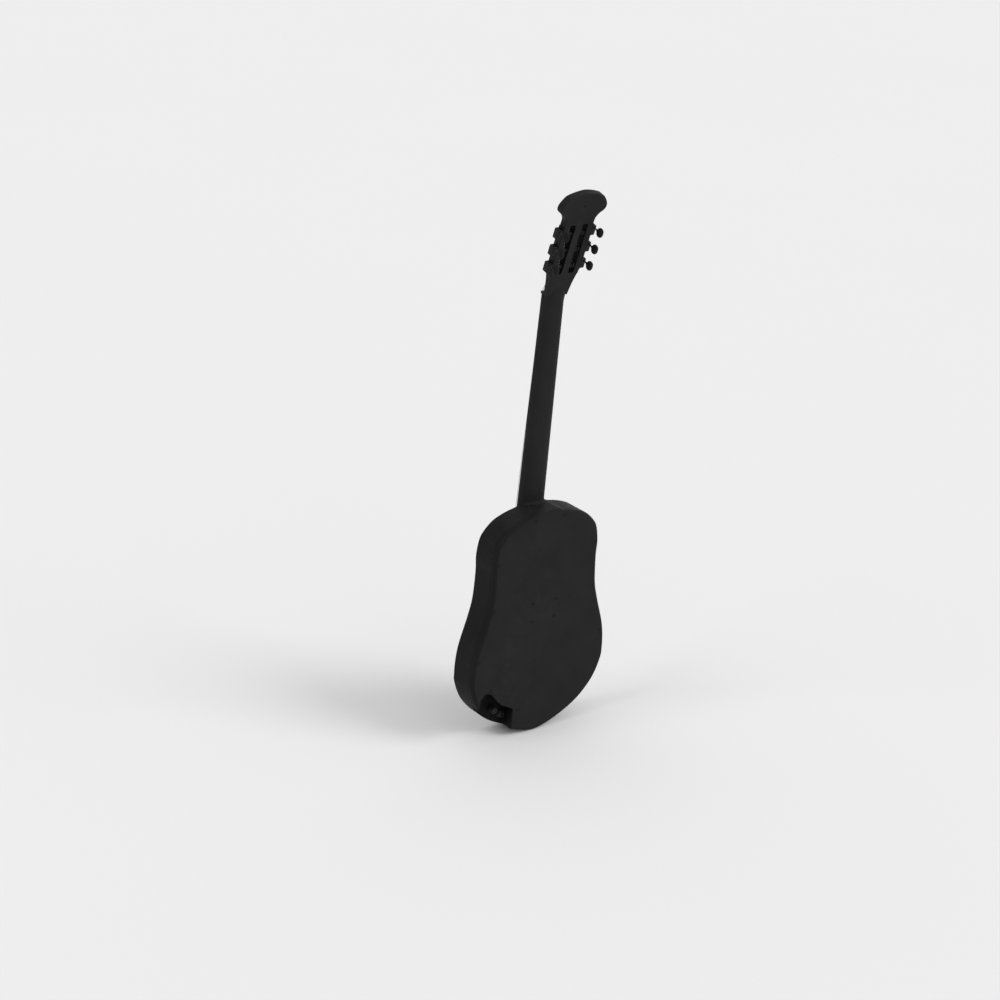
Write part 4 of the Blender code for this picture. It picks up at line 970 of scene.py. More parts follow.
def make_cover():
    """Back cover: a cap with screw seats, the recess's mouth and a round edge in a darker satin,
    painted shade where it turns away from the back.
    """
    levels = [(COVER_Y + rise, grow) for rise, grow in EASED]
    cover = stack("back_shell", BODY, levels + arc_levels(BACK_Y, COVER_R, 1, 10))
    boolean(cover, slab("hollow", inset(BODY, LEDGE_W), COVER_Y - PAST, BACK_Y - SKIN_T))
    mouth = [(COVER_Y - PAST, 0.0), (BACK_Y - RECESS_CHAMFER, 0.0),
             (BACK_Y + PAST, RECESS_CHAMFER + PAST)]
    boolean(cover, stack("mouth", RECESS, mouth))
    boolean(cover, slab("bowl_cut", grown(RECESS, BOWL_T + GAP), COVER_Y - PAST,
                        UNDER_SKIN_Y + GAP))
    hole = SCREW_R + SCREW_CLEAR
    reach = SCREW_HEAD_R + SCREW_CLEAR
    shoulder = -SCREW_HEAD_H - GAP
    seat = [(0.0, -COVER_D - PAST), (hole, -COVER_D - PAST), (hole, shoulder), (reach, shoulder),
            (reach, -SEAT_CHAMFER), (reach + SEAT_CHAMFER + PAST, PAST), (0.0, PAST)]
    for spot in cover_screw_places() + tray_screw_places():
        boolean(cover, turned("screw_seat", seat, 32, back_axis(spot, BACK_Y)))
    place(cover, SHELL, "guitar", "back_cover", "back_cover")
    # Faces that turn round the cover's edge get the darker satin: painted shade.
    second_finish(cover, SIDE_SHADE_BLACK, lambda face: face.normal.y < FLAT_FACE)


def make_bowl():
    """Moulded lining of the recess with a filleted floor, screw lugs and bores."""
    bowl = slab("recess_bowl", grown(RECESS, BOWL_T), FLOOR_Y - BOWL_T, UNDER_SKIN_Y)
    for spot in BOWL_SCREWS:
        boolean(bowl, slab("lug", circle(spot, LUG_R, 48), UNDER_SKIN_Y - BOWL_T, UNDER_SKIN_Y),
                "UNION")
    space = arc_levels(FLOOR_Y, RECESS_FILLET, -1, 5)[::-1] + [(BACK_Y + PAST, 0.0)]
    boolean(bowl, stack("bowl_space", RECESS, space))
    boolean(bowl, slab("bowl_clip", grown(BODY, -GAP), FLOOR_Y - BOWL_T - PAST, BACK_Y),
            "INTERSECT")
    for spot, radius in ((KNOB, POT_BUSH_R), (JACK, JACK_BUSH_R)):
        drill(bowl, radius + GAP, -BOWL_T - PAST, PAST, back_axis(spot, FLOOR_Y), 32)
    for spot in BOWL_SCREWS:
        drill(bowl, SCREW_R + SCREW_CLEAR, -LUG_HOLE_L, 2, back_axis(spot, UNDER_SKIN_Y))
    place(bowl, BOWL, "guitar", "jack_bowl", "jack_bowl")


def make_jack():
    """Output socket: threaded bushing, chamfered hex nut and washer round its bore."""
    axis = back_axis(JACK, FLOOR_Y)
    under = -BOWL_T - GAP
    thread = []
    for i in range(JACK_THREADS):
        climb = (JACK_TOP_H - JACK_NUT_H - 0.6 - GAP) * i / JACK_THREADS
        low = GAP + JACK_NUT_H + 0.1 + climb
        thread += [(JACK_BUSH_R - 0.25, low), (JACK_BUSH_R, low + 0.22)]
    floor = JACK_TOP_H - JACK_BORE_L
    profile = ([(0.0, floor), (JACK_BORE_R, floor), (JACK_BORE_R, JACK_TOP_H - JACK_EASE),
                (JACK_BORE_R + JACK_EASE, JACK_TOP_H), (JACK_BUSH_R - JACK_EASE, JACK_TOP_H)]
               + thread[::-1]
               + [(JACK_BUSH_R, GAP), (JACK_BUSH_R, under), (JACK_BODY_R, under),
                  (JACK_BODY_R, under - JACK_BODY_H), (0.0, under - JACK_BODY_H)])
    jack = turned("output_socket", profile, 48, axis)
    nut = bar("nut", JACK_NUT_R, JACK_WASHER_H + NEAR, GAP + JACK_NUT_H, axis, 6)
    crown = JACK_NUT_H + GAP + 0.01
    boolean(nut, turned("nut_round", [
        (0.0, 0.0), (JACK_NUT_R, 0.0), (JACK_NUT_R, JACK_NUT_H - JACK_NUT_CHAMFER[1]),
        (JACK_NUT_R - JACK_NUT_CHAMFER[0], crown), (0.0, crown)], 48, axis), "INTERSECT")
    washer = bar("washer", JACK_NUT_R + 0.4, GAP, JACK_WASHER_H, axis, 48)
    for part in (nut, washer):
        drill(part, JACK_BUSH_R - NEAR, 0, 9, axis, 48)
    parts = [mend(part) for part in (jack, nut, washer)]
    place(joined("output_socket", parts), SOCKET_BLACK, "guitar", "output_jack", "output_jack")


def make_knob():
    """Volume knob with a fluted skirt, a domed cap and a pointer line, on its shaft."""
    axis = back_axis(KNOB, FLOOR_Y)
    high = KNOB_LOW + KNOB_H
    sides = KNOB_FLUTES * 6
    sections = []
    for base, shape in ((KNOB_LOW, KNOB_SKIRT), (high, KNOB_CAP)):
        for rise, radius, depth in shape:
            ring = []
            for i in range(sides):
                angle = 2 * math.pi * i / sides
                reach = radius - depth * (0.5 - 0.5 * math.cos(KNOB_FLUTES * angle))
                ring.append((*polar(reach, angle), base + rise))
            sections.append(ring)
    cap = loft("volume_cap", sections, axis)
    boolean(cap, box("pointer", POINTER_SEAT, (4.4, 0, high), axis))
    shaft = bar("shaft", SHAFT_R, SHAFT_LOW - BOWL_T, KNOB_LOW + 0.5, axis)
    place(joined("volume_cap", [cap, shaft]), KNOB_BLACK, "knob", "volume_knob", "volume_knob")
    line = box("pointer_line", POINTER, (4.3, 0, high - 0.55), axis, 0.1, 1)
    place(line, MARK, "knob", "volume_knob")


def screw_mesh():
    """Countersunk screw with a dished rim and a cross recess, its head at the origin."""
    profile = [(0.0, -0.1), (SCREW_HEAD_R - 1.1, -0.02), (SCREW_HEAD_R - 0.35, -0.12),
               (SCREW_HEAD_R, -0.4), (SCREW_HEAD_R, -0.6), (SCREW_R + 0.05, -SCREW_HEAD_H + 0.05)]
    for i in range(SCREW_THREADS):
        low = -SCREW_HEAD_H - 1.0 - i * 1.0
        profile += [(SCREW_R - 0.35, low), (SCREW_R, low - 0.4), (SCREW_R, low - 0.55)]
    screw = turned("screw", profile + [(0.0, -SCREW_L)], 28, Matrix.Identity(4))
    cross_slot(screw, *SCREW_CROSS, Matrix.Identity(4))
    mesh = screw.data
    bpy.data.objects.remove(screw)
    return mesh


def make_screws():
    """Screws in the back, each turned its own way."""
    pattern = screw_mesh()
    index = 0
    for kind, spots in (("cover", cover_screw_places()), ("tray", tray_screw_places())):
        for number, spot in enumerate(spots, 1):
            bm = bmesh.new()
            bm.from_mesh(pattern)
            bm.transform(back_axis(spot, BACK_Y) @ spin(SCREW_STEP * index))
            screw = mend(mesh_object(f"{kind}_cross_screw_{number}", bm))
            place(screw, BLACK_METAL, "guitar", f"{kind}_screws", f"{kind}_screw_{number}")
            index += 1


# Neck and head

def neck_half(along):
    """Half width of the neck, at a distance down the fretboard from the nut."""
    return NUT_HALF + (ROOT_HALF - NUT_HALF) * along / NECK_L


def neck_depth(along):
    """Wood under the fretboard, at a distance down from the nut."""
    share = min(1.0, max(0.0, along / NECK_L))
    rise = 0.0
    if along < VOLUTE_L:
        climb = (VOLUTE_L - max(along, 0.0)) / VOLUTE_L
        rise = VOLUTE_RISE * climb ** 3 * (climb * (6 * climb - 15) + 10)
    if along < 0:
        rise -= VOLUTE_FALL * (-along / VOLUTE_TIP) ** 2
    return NECK_T_NUT + (NECK_T_ROOT - NECK_T_NUT) * share + rise


def tenon(name, grow):
    """Tenon of the neck, which reaches through the side wall."""
    low = LINING_Y + 2.0 - grow
    high = ROOT_Y + BOARD_T + NECK_T_ROOT + ROOT_FILLET - 1.0 + grow
    bottom = BODY_L - TENON_L - grow
    top = BODY_L + 2.0
    return box(name, (2 * (TENON_HALF + grow), high - low, top - bottom),
               (0, (low + high) / 2, (top + bottom) / 2))


def fillet(height, radius):
    """Spread of a round fillet at a height above where it starts."""
    short = radius - min(max(height, 0.0), radius)
    return radius - math.sqrt(radius ** 2 - short ** 2)


def d_section(along, side_spread=0.0, back_spread=0.0):
    """Section of the neck: flat under the fretboard, round behind, spread at its root."""
    half = neck_half(max(along, 0.0))
    edge = BOARD_T + FRET_INSET
    deep = neck_depth(along) + back_spread - FRET_INSET
    points = [(-half, BOARD_T + D_CHAMFER), (-half + D_CHAMFER, BOARD_T),
              (half - D_CHAMFER, BOARD_T), (half, BOARD_T + D_CHAMFER)]
    for step in range(D_STEPS + 1):
        angle = math.pi * step / D_STEPS
        wide = math.copysign(abs(math.cos(angle)) ** D_POWER, math.cos(angle))
        points.append(((half + side_spread) * wide, edge + deep * math.sin(angle) ** D_POWER))
    return [(x, y, -along) for x, y in points]


def neck_sections():
    """Sections from below the body's top up to the end of the volute."""
    rises = [-ROOT_L, -SHOULDER_DROP]
    rises += [ROOT_FILLET * (1 - math.cos(0.5 * math.pi * i / 8)) - SHOULDER_DROP
              for i in range(1, 6)]
    rises += [ROOT_FILLET * (1 - math.cos(0.5 * math.pi * i / 10)) for i in range(0, 11)]
    rises = sorted(set(round(rise, 3) for rise in rises))
    sections = [d_section(NECK_L - rise, fillet(rise + SHOULDER_DROP, ROOT_FILLET),
                          fillet(rise, ROOT_FILLET)) for rise in rises]
    top = NECK_L - rises[-1]
    places = [top + (VOLUTE_L - top) * step / 10 for step in range(1, 10)]
    places += [VOLUTE_L - VOLUTE_L * step / 10 for step in range(11)]
    places += [-VOLUTE_TIP * step / 5 for step in range(1, 6)]
    return sections + [d_section(along) for along in places]


def head_block():
    """Head with rounded edges, its two slots and the holes for the rollers."""
    head = slab("head", head_outline(), -HEAD_T, 0.0, HEAD_EDGE, HEAD_EDGE, HEAD)
    for side in (-1, 1):
        near = side * (SLOT_X - SLOT_HALF)
        far = side * (SLOT_X + SLOT_HALF)
        corners = rectangle(min(near, far), SLOT_LO, max(near, far), SLOT_HI)
        loop = rounded([(corner, SLOT_END_R) for corner in corners])
        cut = [(-HEAD_T - PAST, SLOT_EASE + PAST), (-HEAD_T + SLOT_EASE, 0.0), (-SLOT_EASE, 0.0),
               (PAST, SLOT_EASE + PAST)]
        boolean(head, stack("slot", loop, cut, HEAD))
        for s in ROLLER_S:
            axis = roller_frame(side, s)
            drill(head, ROLLER_R + GAP, SLOT_X, GEAR_X, axis, 32)
            drill(head, ROLLER_TIP_R + GAP, ROLLER_TIP_X - GAP, SLOT_X, axis, 28)
    return head


def make_neck():
    """Neck, filleted root, tenon, volute and slotted head as one piece of wood."""
    neck = loft("neck_wood", neck_sections(), NECK)
    boolean(neck, slab("body_space", grown(BODY, GAP), FRONT_Y - ROOT_L, BACK_Y + ROOT_L))
    boolean(neck, tenon("tenon", 0.0), "UNION")
    boolean(neck, box("front_cut", (4 * EAR_HALF, 2 * HEAD_T, HEAD_PEAK),
                      (0, -2 * HEAD_T, HEAD_PEAK / 2 - FRONT_CUT_BELOW), HEAD))
    boolean(neck, head_block(), "UNION")
    boolean(neck, box("rod_channel", (ROD_CHANNEL, ROD_CHANNEL + 1, NECK_L - 2 * ROD_END),
                      (0, BOARD_T + (ROD_CHANNEL - 1) / 2, -NECK_L / 2), NECK))
    seat = NUT_L + NUT_SEAT_END
    boolean(neck, box("nut_seat", (4 * NUT_HALF, 2 * (BOARD_T + NUT_SEAT_D), seat),
                      (0, 0, GAP - seat / 2), NECK))
    sink(neck, HANG_HOLE_R, HANG_HOLE_L, SEAT_CHAMFER, HEAD @ shift(0, 0, HANG_HOLE_S) @ BACK_TURN)
    place(mend(neck), NECK_BLACK, "guitar", "neck", "neck", angle=30)
    to_head = HEAD.inverted() @ neck.matrix_world
    # The walls inside the slots get a near-black satin: painted shade.
    second_finish(neck, SLOT_SHADE, lambda face: in_slot(to_head @ face.center / MM))


def in_slot(spot):
    """Whether a place in the head's frame is on the walls inside a slot, which get the painted
    shade.
    """
    return (abs(abs(spot.x) - SLOT_X) < SLOT_HALF + NEAR
            and SLOT_LO - NEAR < spot.z < SLOT_HI + NEAR
            and SLOT_EASE < -spot.y < HEAD_T - SLOT_EASE)


def fret_distance(fret):
    """Distance of a fret from the nut."""
    return SCALE_L * (1 - 2 ** (-fret / 12))


def make_fretboard():
    """Tapered fretboard with eased edges, crowned frets and dots on its face and side."""
    end = fret_distance(FRETS + 0.6)
    top = -NUT_L - GAP
    corners = [(-neck_half(end), -end), (neck_half(end), -end), (NUT_HALF, top), (-NUT_HALF, top)]
    board = slab("finger_board", corners, 0.0, BOARD_T - GAP, 0.35, 0.0, NECK, 3)
    dots = []
    side_dots = []
    for fret in DOT_FRETS:
        along = (fret_distance(fret) + fret_distance(fret - 1)) / 2
        for x in (-TWIN_DOT_X, TWIN_DOT_X) if fret == 12 else (0.0,):
            spot = NECK @ shift(x, 0, -along) @ BACK_TURN
            drill(board, DOT_R + NEAR, -PAST, DOT_SEAT, spot, 32)
            dots.append(bar("dot", DOT_R, 0.02, DOT_SEAT - NEAR, spot, 32))
        spot = NECK @ shift(-neck_half(along), SIDE_DOT_Y, -along) @ spin(-math.pi / 2, "Y")
        side_dots.append(bar("side_dot", SIDE_DOT_R, -0.6, 0.03, spot, 20))
    place(board, EBONY, "guitar", "fretboard", "fretboard")
    place(joined("face_dots", dots), PEARL, "guitar", "nut")
    place(joined("side_dots", side_dots), PEARL, "guitar", "nut")
    wires = [fret_wire(fret_distance(fret)) for fret in range(1, FRETS + 1)]
    place(joined("frets", wires), FRET_STEEL, "guitar", "truss_rod")


def fret_wire(along):
    """One crowned fret with rounded ends, at a distance down from the nut."""
    half = neck_half(along) - FRET_INSET
    ends = [(half - inward, share) for inward, share in FRET_ENDS]
    sections = []
    for x, share in [(-x, share) for x, share in ends] + ends[::-1]:
        crown = [(x, FRET_SUNK, -along - FRET_W / 2)]
        for step in range(9):
            angle = math.pi * step / 8
            crown.append((x, -FRET_H * share * math.sin(angle),
                          -along - FRET_W / 2 * math.cos(angle)))
        crown.append((x, FRET_SUNK, -along + FRET_W / 2))
        sections.append(crown)
    return loft("fret", sections, NECK)


def make_nut():
    """Nut with a rounded back and a groove for each string."""
    nut = box("string_nut", (2 * NUT_HALF, NUT_H, NUT_L),
              (0, BOARD_T - GAP - NUT_H / 2, -NUT_L / 2), NECK, 0.7)
    for index in range(len(STRING_R)):
        spot = NECK @ shift(string_x(index, STRING_SPAN_NUT), -NUT_STRING_H, 0)
        drill(nut, NUT_GROOVE_R, -NUT_L - PAST, PAST, spot, 20)
    place(nut, NUT_BLACK, "guitar", "nut", "nut")


# Bridge and strings

def string_x(index, span):
    """Place of a string across the neck, bass first."""
    return -span / 2 + span * index / (len(STRING_R) - 1)


def bridge_section(x, height):
    """Section across the bridge at a place along it, with rounded shoulders."""
    low = SADDLE_Z - BRIDGE_BACKSET - BRIDGE_W / 2
    high = low + BRIDGE_W
    corner = min(3.5, height * 0.45)
    points = [(BRIDGE_Y, low), (BRIDGE_Y, high)]
    for centre, start in ((high - corner, 0.0), (low + corner, math.pi / 2)):
        for step in range(6):
            angle = start + math.pi / 2 * step / 5
            points.append((BRIDGE_Y - height + corner - corner * math.sin(angle),
                           centre + corner * math.cos(angle)))
    return [(x, y, z) for y, z in points]


def make_bridge():
    """Bridge: thin wings that swell to a tie block, with its saddle slot and string holes."""
    shapes = [(BRIDGE_HALF - inward, height) for inward, height in BRIDGE_TIP]
    tip_x, tip_h = shapes[-1]
    swell_x = BRIDGE_CORE_HALF + BRIDGE_SWELL
    for step in range(1, 12):
        share = step / 12
        shapes.append((tip_x - (tip_x - swell_x) * share, tip_h + (BRIDGE_WING_H - tip_h) * share))
    for step in range(7):
        share = step / 6
        ease = share * share * (3 - 2 * share)
        shapes.append((swell_x - BRIDGE_SWELL * share,
                       BRIDGE_WING_H + (BRIDGE_CORE_H - BRIDGE_WING_H) * ease))
    shapes += [(-x, height) for x, height in reversed(shapes)]
    bridge = loft("tie_bridge", [bridge_section(x, height) for x, height in shapes])
    top = BRIDGE_Y - BRIDGE_CORE_H
    boolean(bridge, box("slot", (2 * (SADDLE_HALF + GAP), 2 * SADDLE_SEAT_D, SADDLE_T + 2 * GAP),
                        (0, top, SADDLE_Z)))
    boolean(bridge, box("trough", (2 * SADDLE_HALF, 2 * TROUGH_D, TROUGH_W),
                        (0, top, SADDLE_Z - TROUGH_DROP)))
    for index in range(len(STRING_R)):
        drill(bridge, TIE_HOLE_R, SADDLE_Z - BRIDGE_W, SADDLE_Z - TROUGH_DROP,
              shift(string_x(index, STRING_SPAN_BRIDGE), TIE_Y, 0), 20)
    place(bridge, EBONY_ACROSS, "guitar", "bridge", "bridge", angle=40)


def make_saddle():
    """Saddle with a crowned top."""
    floor = BRIDGE_Y - BRIDGE_CORE_H + SADDLE_SEAT_D - 2 * GAP - PIEZO_T
    crown = neck_y(SADDLE_Z) - SADDLE_STRING_H
    saddle = box("string_saddle", (2 * SADDLE_HALF, floor - crown, SADDLE_T),
                 (0, (floor + crown) / 2, SADDLE_Z), None, 0.85, 5)
    place(saddle, BONE, "guitar", "saddle", "saddle")


def winding(index):
    """Points of the turns of one string round its roller."""
    side = -1 if index < 3 else 1
    station = ROLLER_S[index if side < 0 else 5 - index]
    reach = ROLLER_R + GAP + STRING_R[index]
    start = SLOT_X + SLOT_HALF / 2 - WRAP_PITCH * WRAP_TURNS / 2
    points = []
    for step in range(WRAP_POINTS * WRAP_TURNS + 1):
        angle = WRAP_START + 2 * math.pi * step / WRAP_POINTS
        x = side * (start + WRAP_PITCH * step / WRAP_POINTS)
        local = Vector((x, reach * math.sin(angle) - HEAD_T / 2, station - reach * math.cos(angle)))
        points.append(HEAD @ (local * MM) / MM)
    return points


def string_route(index):
    """Points of one string: tie hole, saddle, nut, then its turns round the roller."""
    radius = STRING_R[index]
    bridge_x = string_x(index, STRING_SPAN_BRIDGE)
    nut_x = string_x(index, STRING_SPAN_NUT)
    crown = neck_y(SADDLE_Z) - SADDLE_STRING_H
    start = Vector((bridge_x, TIE_Y, SADDLE_Z - BRIDGE_BACKSET - BRIDGE_W / 2 - 1))
    exit_hole = Vector((bridge_x, TIE_Y, SADDLE_Z - TROUGH_DROP))
    over_saddle = Vector((bridge_x, crown - radius - GAP, SADDLE_Z))
    behind_saddle = over_saddle - Vector((0, 0, SADDLE_T / 2 + radius + GAP))
    over_nut = NECK @ (Vector((nut_x, -NUT_STRING_H, -NUT_L / 2)) * MM) / MM
    nut_edge = NECK @ (Vector((nut_x, GAP / 2 - NUT_STRING_H, 4 * GAP)) * MM) / MM
    return [start, exit_hole, behind_saddle, over_saddle, over_nut, nut_edge, *winding(index)]


def make_strings():
    """The strings, each with its turns round its roller."""
    for index, radius in enumerate(STRING_R):
        wire = tube(f"wire_{index + 1}", string_route(index), radius)
        material, slot = ((WOUND, "wound_strings") if index < WOUND_STRINGS
                          else (NYLON, "plain_strings"))
        place(wire, material, "guitar", slot, f"string_{index + 1}", angle=60)


# Tuners

def make_tuner_plate(label, side):
    """Side plate with three rounded gear housings and its screws."""
    low = ROLLER_S[0] - PLATE_MARGIN
    high = ROLLER_S[-1] + CENTRE_DIST + PLATE_MARGIN
    made = box(f"side_plate_{label}", (PLATE_T, HEAD_T - 2 * PLATE_INSET, high - low),
               (side * (PLATE_X + PLATE_T / 2), -HEAD_T / 2, (high + low) / 2), HEAD, 0.4, 2)
    half_len = (GEAR_R + CENTRE_DIST + WORM_R) / 2 + GAP + HOUSING_WALL
    for s in ROLLER_S:
        centre = s + (CENTRE_DIST + WORM_R - GEAR_R) / 2
        shell = box("housing", (HOUSING_X, HEAD_T - 2 * HOUSING_INSET, 2 * half_len),
                    (side * (PLATE_X + PLATE_INSET + HOUSING_X / 2), -HEAD_T / 2 + OFF_PLANE,
                     centre), HEAD, HOUSING_R, 4)
        boolean(made, shell, "UNION")
    worm_r, stem_r = WORM_R + GAP, STEM_R + GAP
    profile = [(0.0, WORM_END - HEAD_T), (worm_r, WORM_END - HEAD_T), (worm_r, -WORM_END),
               (stem_r, -WORM_END), (stem_r, PAST), (0.0, PAST)]
    for s in ROLLER_S:
        axis = roller_frame(side, s)
        drill(made, GEAR_R + GAP, GEAR_X, GEAR_X + GEAR_T + 2 * GAP, axis @ spin(GEAR_CUT_TURN),
              GEAR_CUT_SIDES)
        drill(made, ROLLER_NECK_R + GAP, PLATE_X - PAST, GEAR_X + GAP, axis, 32)
        boolean(made, turned("worm_space", profile, WORM_CUT_SIDES,
                             worm_frame(side, s) @ spin(WORM_CUT_TURN)))
    place(mend(made), TUNER_BLACK, "guitar", f"tuner_plate_{label}", f"tuner_plate_{label}")
    heads = []
    middles = [(first + CENTRE_DIST + second) / 2 + 1.0
               for first, second in zip(ROLLER_S, ROLLER_S[1:])]
    for s in (low + PLATE_SCREW_IN, *middles, high - PLATE_SCREW_IN):
        spot = roller_frame(side, s) @ shift(0, 0, PLATE_X + PLATE_T)
        head = turned("head", PLATE_SCREW, 24, spot)
        boolean(head, box("drive", PLATE_DRIVE, (0, 0, PLATE_DRIVE[2]), spot @ spin(s)))
        heads.append(head)
    place(joined(f"plate_screws_{label}", heads), BLACK_METAL, "guitar", f"tuner_plate_{label}")


def make_roller(number, side, s):
    """String roller with a waisted barrel, its spindle and a toothed gear."""
    axis = roller_frame(side, s)
    inner = SLOT_X - SLOT_HALF
    outer = SLOT_X + SLOT_HALF
    gear_low = GEAR_X + GAP
    gear_mid = gear_low + GEAR_T / 2
    gear_top = gear_low + GEAR_T
    waist = ROLLER_R - ROLLER_WAIST
    profile = [(0.0, gear_mid), (ROLLER_NECK_R, gear_mid), (ROLLER_NECK_R, HEAD_HALF),
               (ROLLER_R - 0.2, HEAD_HALF), (ROLLER_R, HEAD_HALF - 0.3), (ROLLER_R, outer - 0.6),
               (waist, outer - 1.2), (waist, inner + 1.4), (ROLLER_R, inner + 0.9),
               (ROLLER_R, inner + 0.5), (ROLLER_TIP_R, inner + 0.2),
               (ROLLER_TIP_R, ROLLER_TIP_X + 0.4), (ROLLER_TIP_R - 0.4, ROLLER_TIP_X),
               (0.0, ROLLER_TIP_X)]
    barrel = turned("barrel", profile, 40, axis)
    loop = []
    for i in range(GEAR_TEETH * 8):
        angle = 2 * math.pi * i / (GEAR_TEETH * 8)
        swing = math.cos(GEAR_TEETH * angle)
        tooth = 0.5 + 0.5 * max(-1.0, min(1.0, GEAR_STEEP * swing))
        loop.append(polar(GEAR_R - GEAR_TOOTH * (1 - tooth), angle))
    gear = loft("gear", [[(x * trim, y * trim, z) for x, y in loop]
                         for z, trim in ((gear_low, GEAR_TRIM), (gear_low + 0.25, 1.0),
                                         (gear_top - 0.25, 1.0), (gear_top, GEAR_TRIM))], axis)
    cap = turned("cap_screw", [(1.8, gear_top - 0.1), (1.8, gear_top + 0.12),
                               (1.5, gear_top + 0.25), (0.0, gear_top + 0.25)], 24, axis)
    piece = joined(f"roller_barrel_{number}", [barrel, gear, cap])
    place(piece, ROLLER, f"roller_{number}", "rollers", f"string_roller_{number}")


def make_worm(number, side, s):
    """Worm with its helical thread, and the stem that carries the button."""
    axis = worm_frame(side, s)
    low = WORM_END + GAP - HEAD_T
    high = -WORM_END - GAP
    top = BUTTON_RISE - BUTTON_SIZE[2] / 2 + STEM_IN_BUTTON
    stem = turned("stem", [(0.0, low), (WORM_CORE_R - 0.2, low), (WORM_CORE_R, low + 0.2),
                           (WORM_CORE_R, high), (STEM_R, high), (STEM_R, top), (0.0, top)],
                  28, axis)
    points = []
    for step in range(WORM_POINTS + 1):
        share = step / WORM_POINTS
        z = low + 1.0 + (high - low - 2.0) * share
        local = Vector((*polar(WORM_CORE_R, 2 * math.pi * WORM_TURNS * share), z))
        points.append(axis @ (local * MM) / MM)
    thread = tube("thread", points, WORM_R - WORM_CORE_R - 0.02, 2)
    piece = joined(f"worm_shaft_{number}", [stem, thread])
    place(piece, DARK_STEEL, f"key_{number}", "worms", f"tuner_worm_{number}")


def make_button(number, side, s):
    """Oval button: a rounded pad with a collar where the stem goes in."""
    axis = worm_frame(side, s)
    thick, wide, long = BUTTON_SIZE
    sections = []
    for i in range(1, BUTTON_RINGS):
        share = -math.cos(math.pi * i / BUTTON_RINGS)
        reach = (1 - abs(share) ** BUTTON_POWER) ** (1 / BUTTON_POWER)
        ring = []
        for across, along in circle((0, 0), 1.0, 48):
            x = math.copysign(abs(across) ** BUTTON_SQUARE, across)
            y = math.copysign(abs(along) ** BUTTON_SQUARE, along)
            ring.append((thick / 2 * reach * x * (0.94 + 0.06 * share ** 2), wide / 2 * reach * y,
                         BUTTON_RISE + long / 2 * share))
        sections.append(ring)
    pad = loft(f"tuner_pad_{number}", sections, axis)
    bottom = BUTTON_RISE - long / 2
    drill(pad, STEM_R + GAP, 0, bottom + STEM_IN_BUTTON + GAP, axis, 28)
    place(pad, BUTTON, f"key_{number}", "buttons", f"tuner_button_{number}", angle=50)
    profile = [(STEM_R + out, bottom + rise) for out, rise in COLLAR]
    collar = turned(f"button_collar_{number}", profile, 28, axis)
    place(collar, BLACK_METAL, f"key_{number}", "worms")


def make_tuners():
    """Both tuner sets, numbered from the nut up on the bass side, then on the treble side."""
    number = 0
    for side, label in ((-1, "bass"), (1, "treble")):
        make_tuner_plate(label, side)
        for s in ROLLER_S:
            number += 1
            make_roller(number, side, s)
            make_worm(number, side, s)
            make_button(number, side, s)


def dress_nodes():
    """Finish for the inner nodes that keep their shape."""
    for material, names in ((SPRUCE_ACROSS, ("neck_block", "tail_block", "soundboard_brace")),
                            (EBONY_ACROSS, ("bridge_plate",)), (BOWL, ("preamp_tray",)),
                            (BATTERY, ("battery_9v",)), (DARK_STEEL, ("truss_rod",)),
                            (BRIGHT, ("volume_pot", "piezo_strip"))):
        for name in names:
            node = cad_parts[name]
            node.data.materials.clear()
            node.data.materials.append(material)


# Stage, in metres and degrees, the camera as fitted to the photograph

CAMERA_AT = (2.3260, 2.8226, 1.9679)
CAMERA_RIGHT = (-0.7990, 0.5981, 0.0614)
CAMERA_BACK = (0.5731, 0.7268, 0.3785)
CAMERA_LENS = 75.1
SENSOR = 36.0
FLOOR_TONE = (0.8, 0.8, 0.8)
FLOOR_HALF = 60.0
FLOOR_DROP = 0.0003
DIM_SIDE = (0.94, -0.34, 0.0)  # the room's light falls off towards this side
SKY_FAR = 1.06
SKY_NEAR = 0.32
SKY_SEEN = 0.86                # as pale as the floor
SUN_SPREAD = 26.0
SUN_HIGH = 42.0
RIGHT_AZIMUTH = 130.0
LEFT_AZIMUTH = -4.0
SUN_RIGHT = 1.1
SUN_LEFT = 0.68


def make_camera():
    """Camera at the photograph's place, angle and lens."""
    back = Vector(CAMERA_BACK).normalized()
    right = Vector(CAMERA_RIGHT)
    right = (right - back * right.dot(back)).normalized()
    up = back.cross(right)
    turn = Matrix((right, up, back)).transposed().to_4x4()
    data = bpy.data.cameras.new("photo_camera")
    data.lens = CAMERA_LENS
    data.sensor_width = SENSOR
    data.clip_end = 200.0
    camera = bpy.data.objects.new("photo_camera", data)
    camera.matrix_world = Matrix.Translation(CAMERA_AT) @ turn
    bpy.context.scene.collection.objects.link(camera)
    bpy.context.scene.camera = camera


def make_floor():
    """Pale seamless floor."""
    made = Finish("pale_floor", roughness=0.9, specular=0.0)
    light = tuple(part * 1.004 for part in FLOOR_TONE)
    material = made.finish(made.ramp(made.noise(0.7, 2.0), [(0.3, FLOOR_TONE), (0.7, light)]))
    bm = bmesh.new()
    bmesh.ops.create_grid(bm, x_segments=2, y_segments=2, size=FLOOR_HALF)
    floor = mesh_object("floor", bm, Matrix.Translation((0, 0, -FLOOR_DROP)))
    floor.data.materials.append(material)


def soft_sun(name, azimuth, elevation, strength):
    """Broad, even lamp from one side."""
    data = bpy.data.lights.new(name, "SUN")
    data.energy = strength
    data.angle = math.radians(SUN_SPREAD)
    lamp = bpy.data.objects.new(name, data)
    turn = math.radians(azimuth)
    tilt = math.radians(elevation)
    out = Vector((math.cos(turn) * math.cos(tilt), math.sin(turn) * math.cos(tilt), math.sin(tilt)))
    lamp.matrix_world = out.to_track_quat("Z", "Y").to_matrix().to_4x4()
    bpy.context.scene.collection.objects.link(lamp)


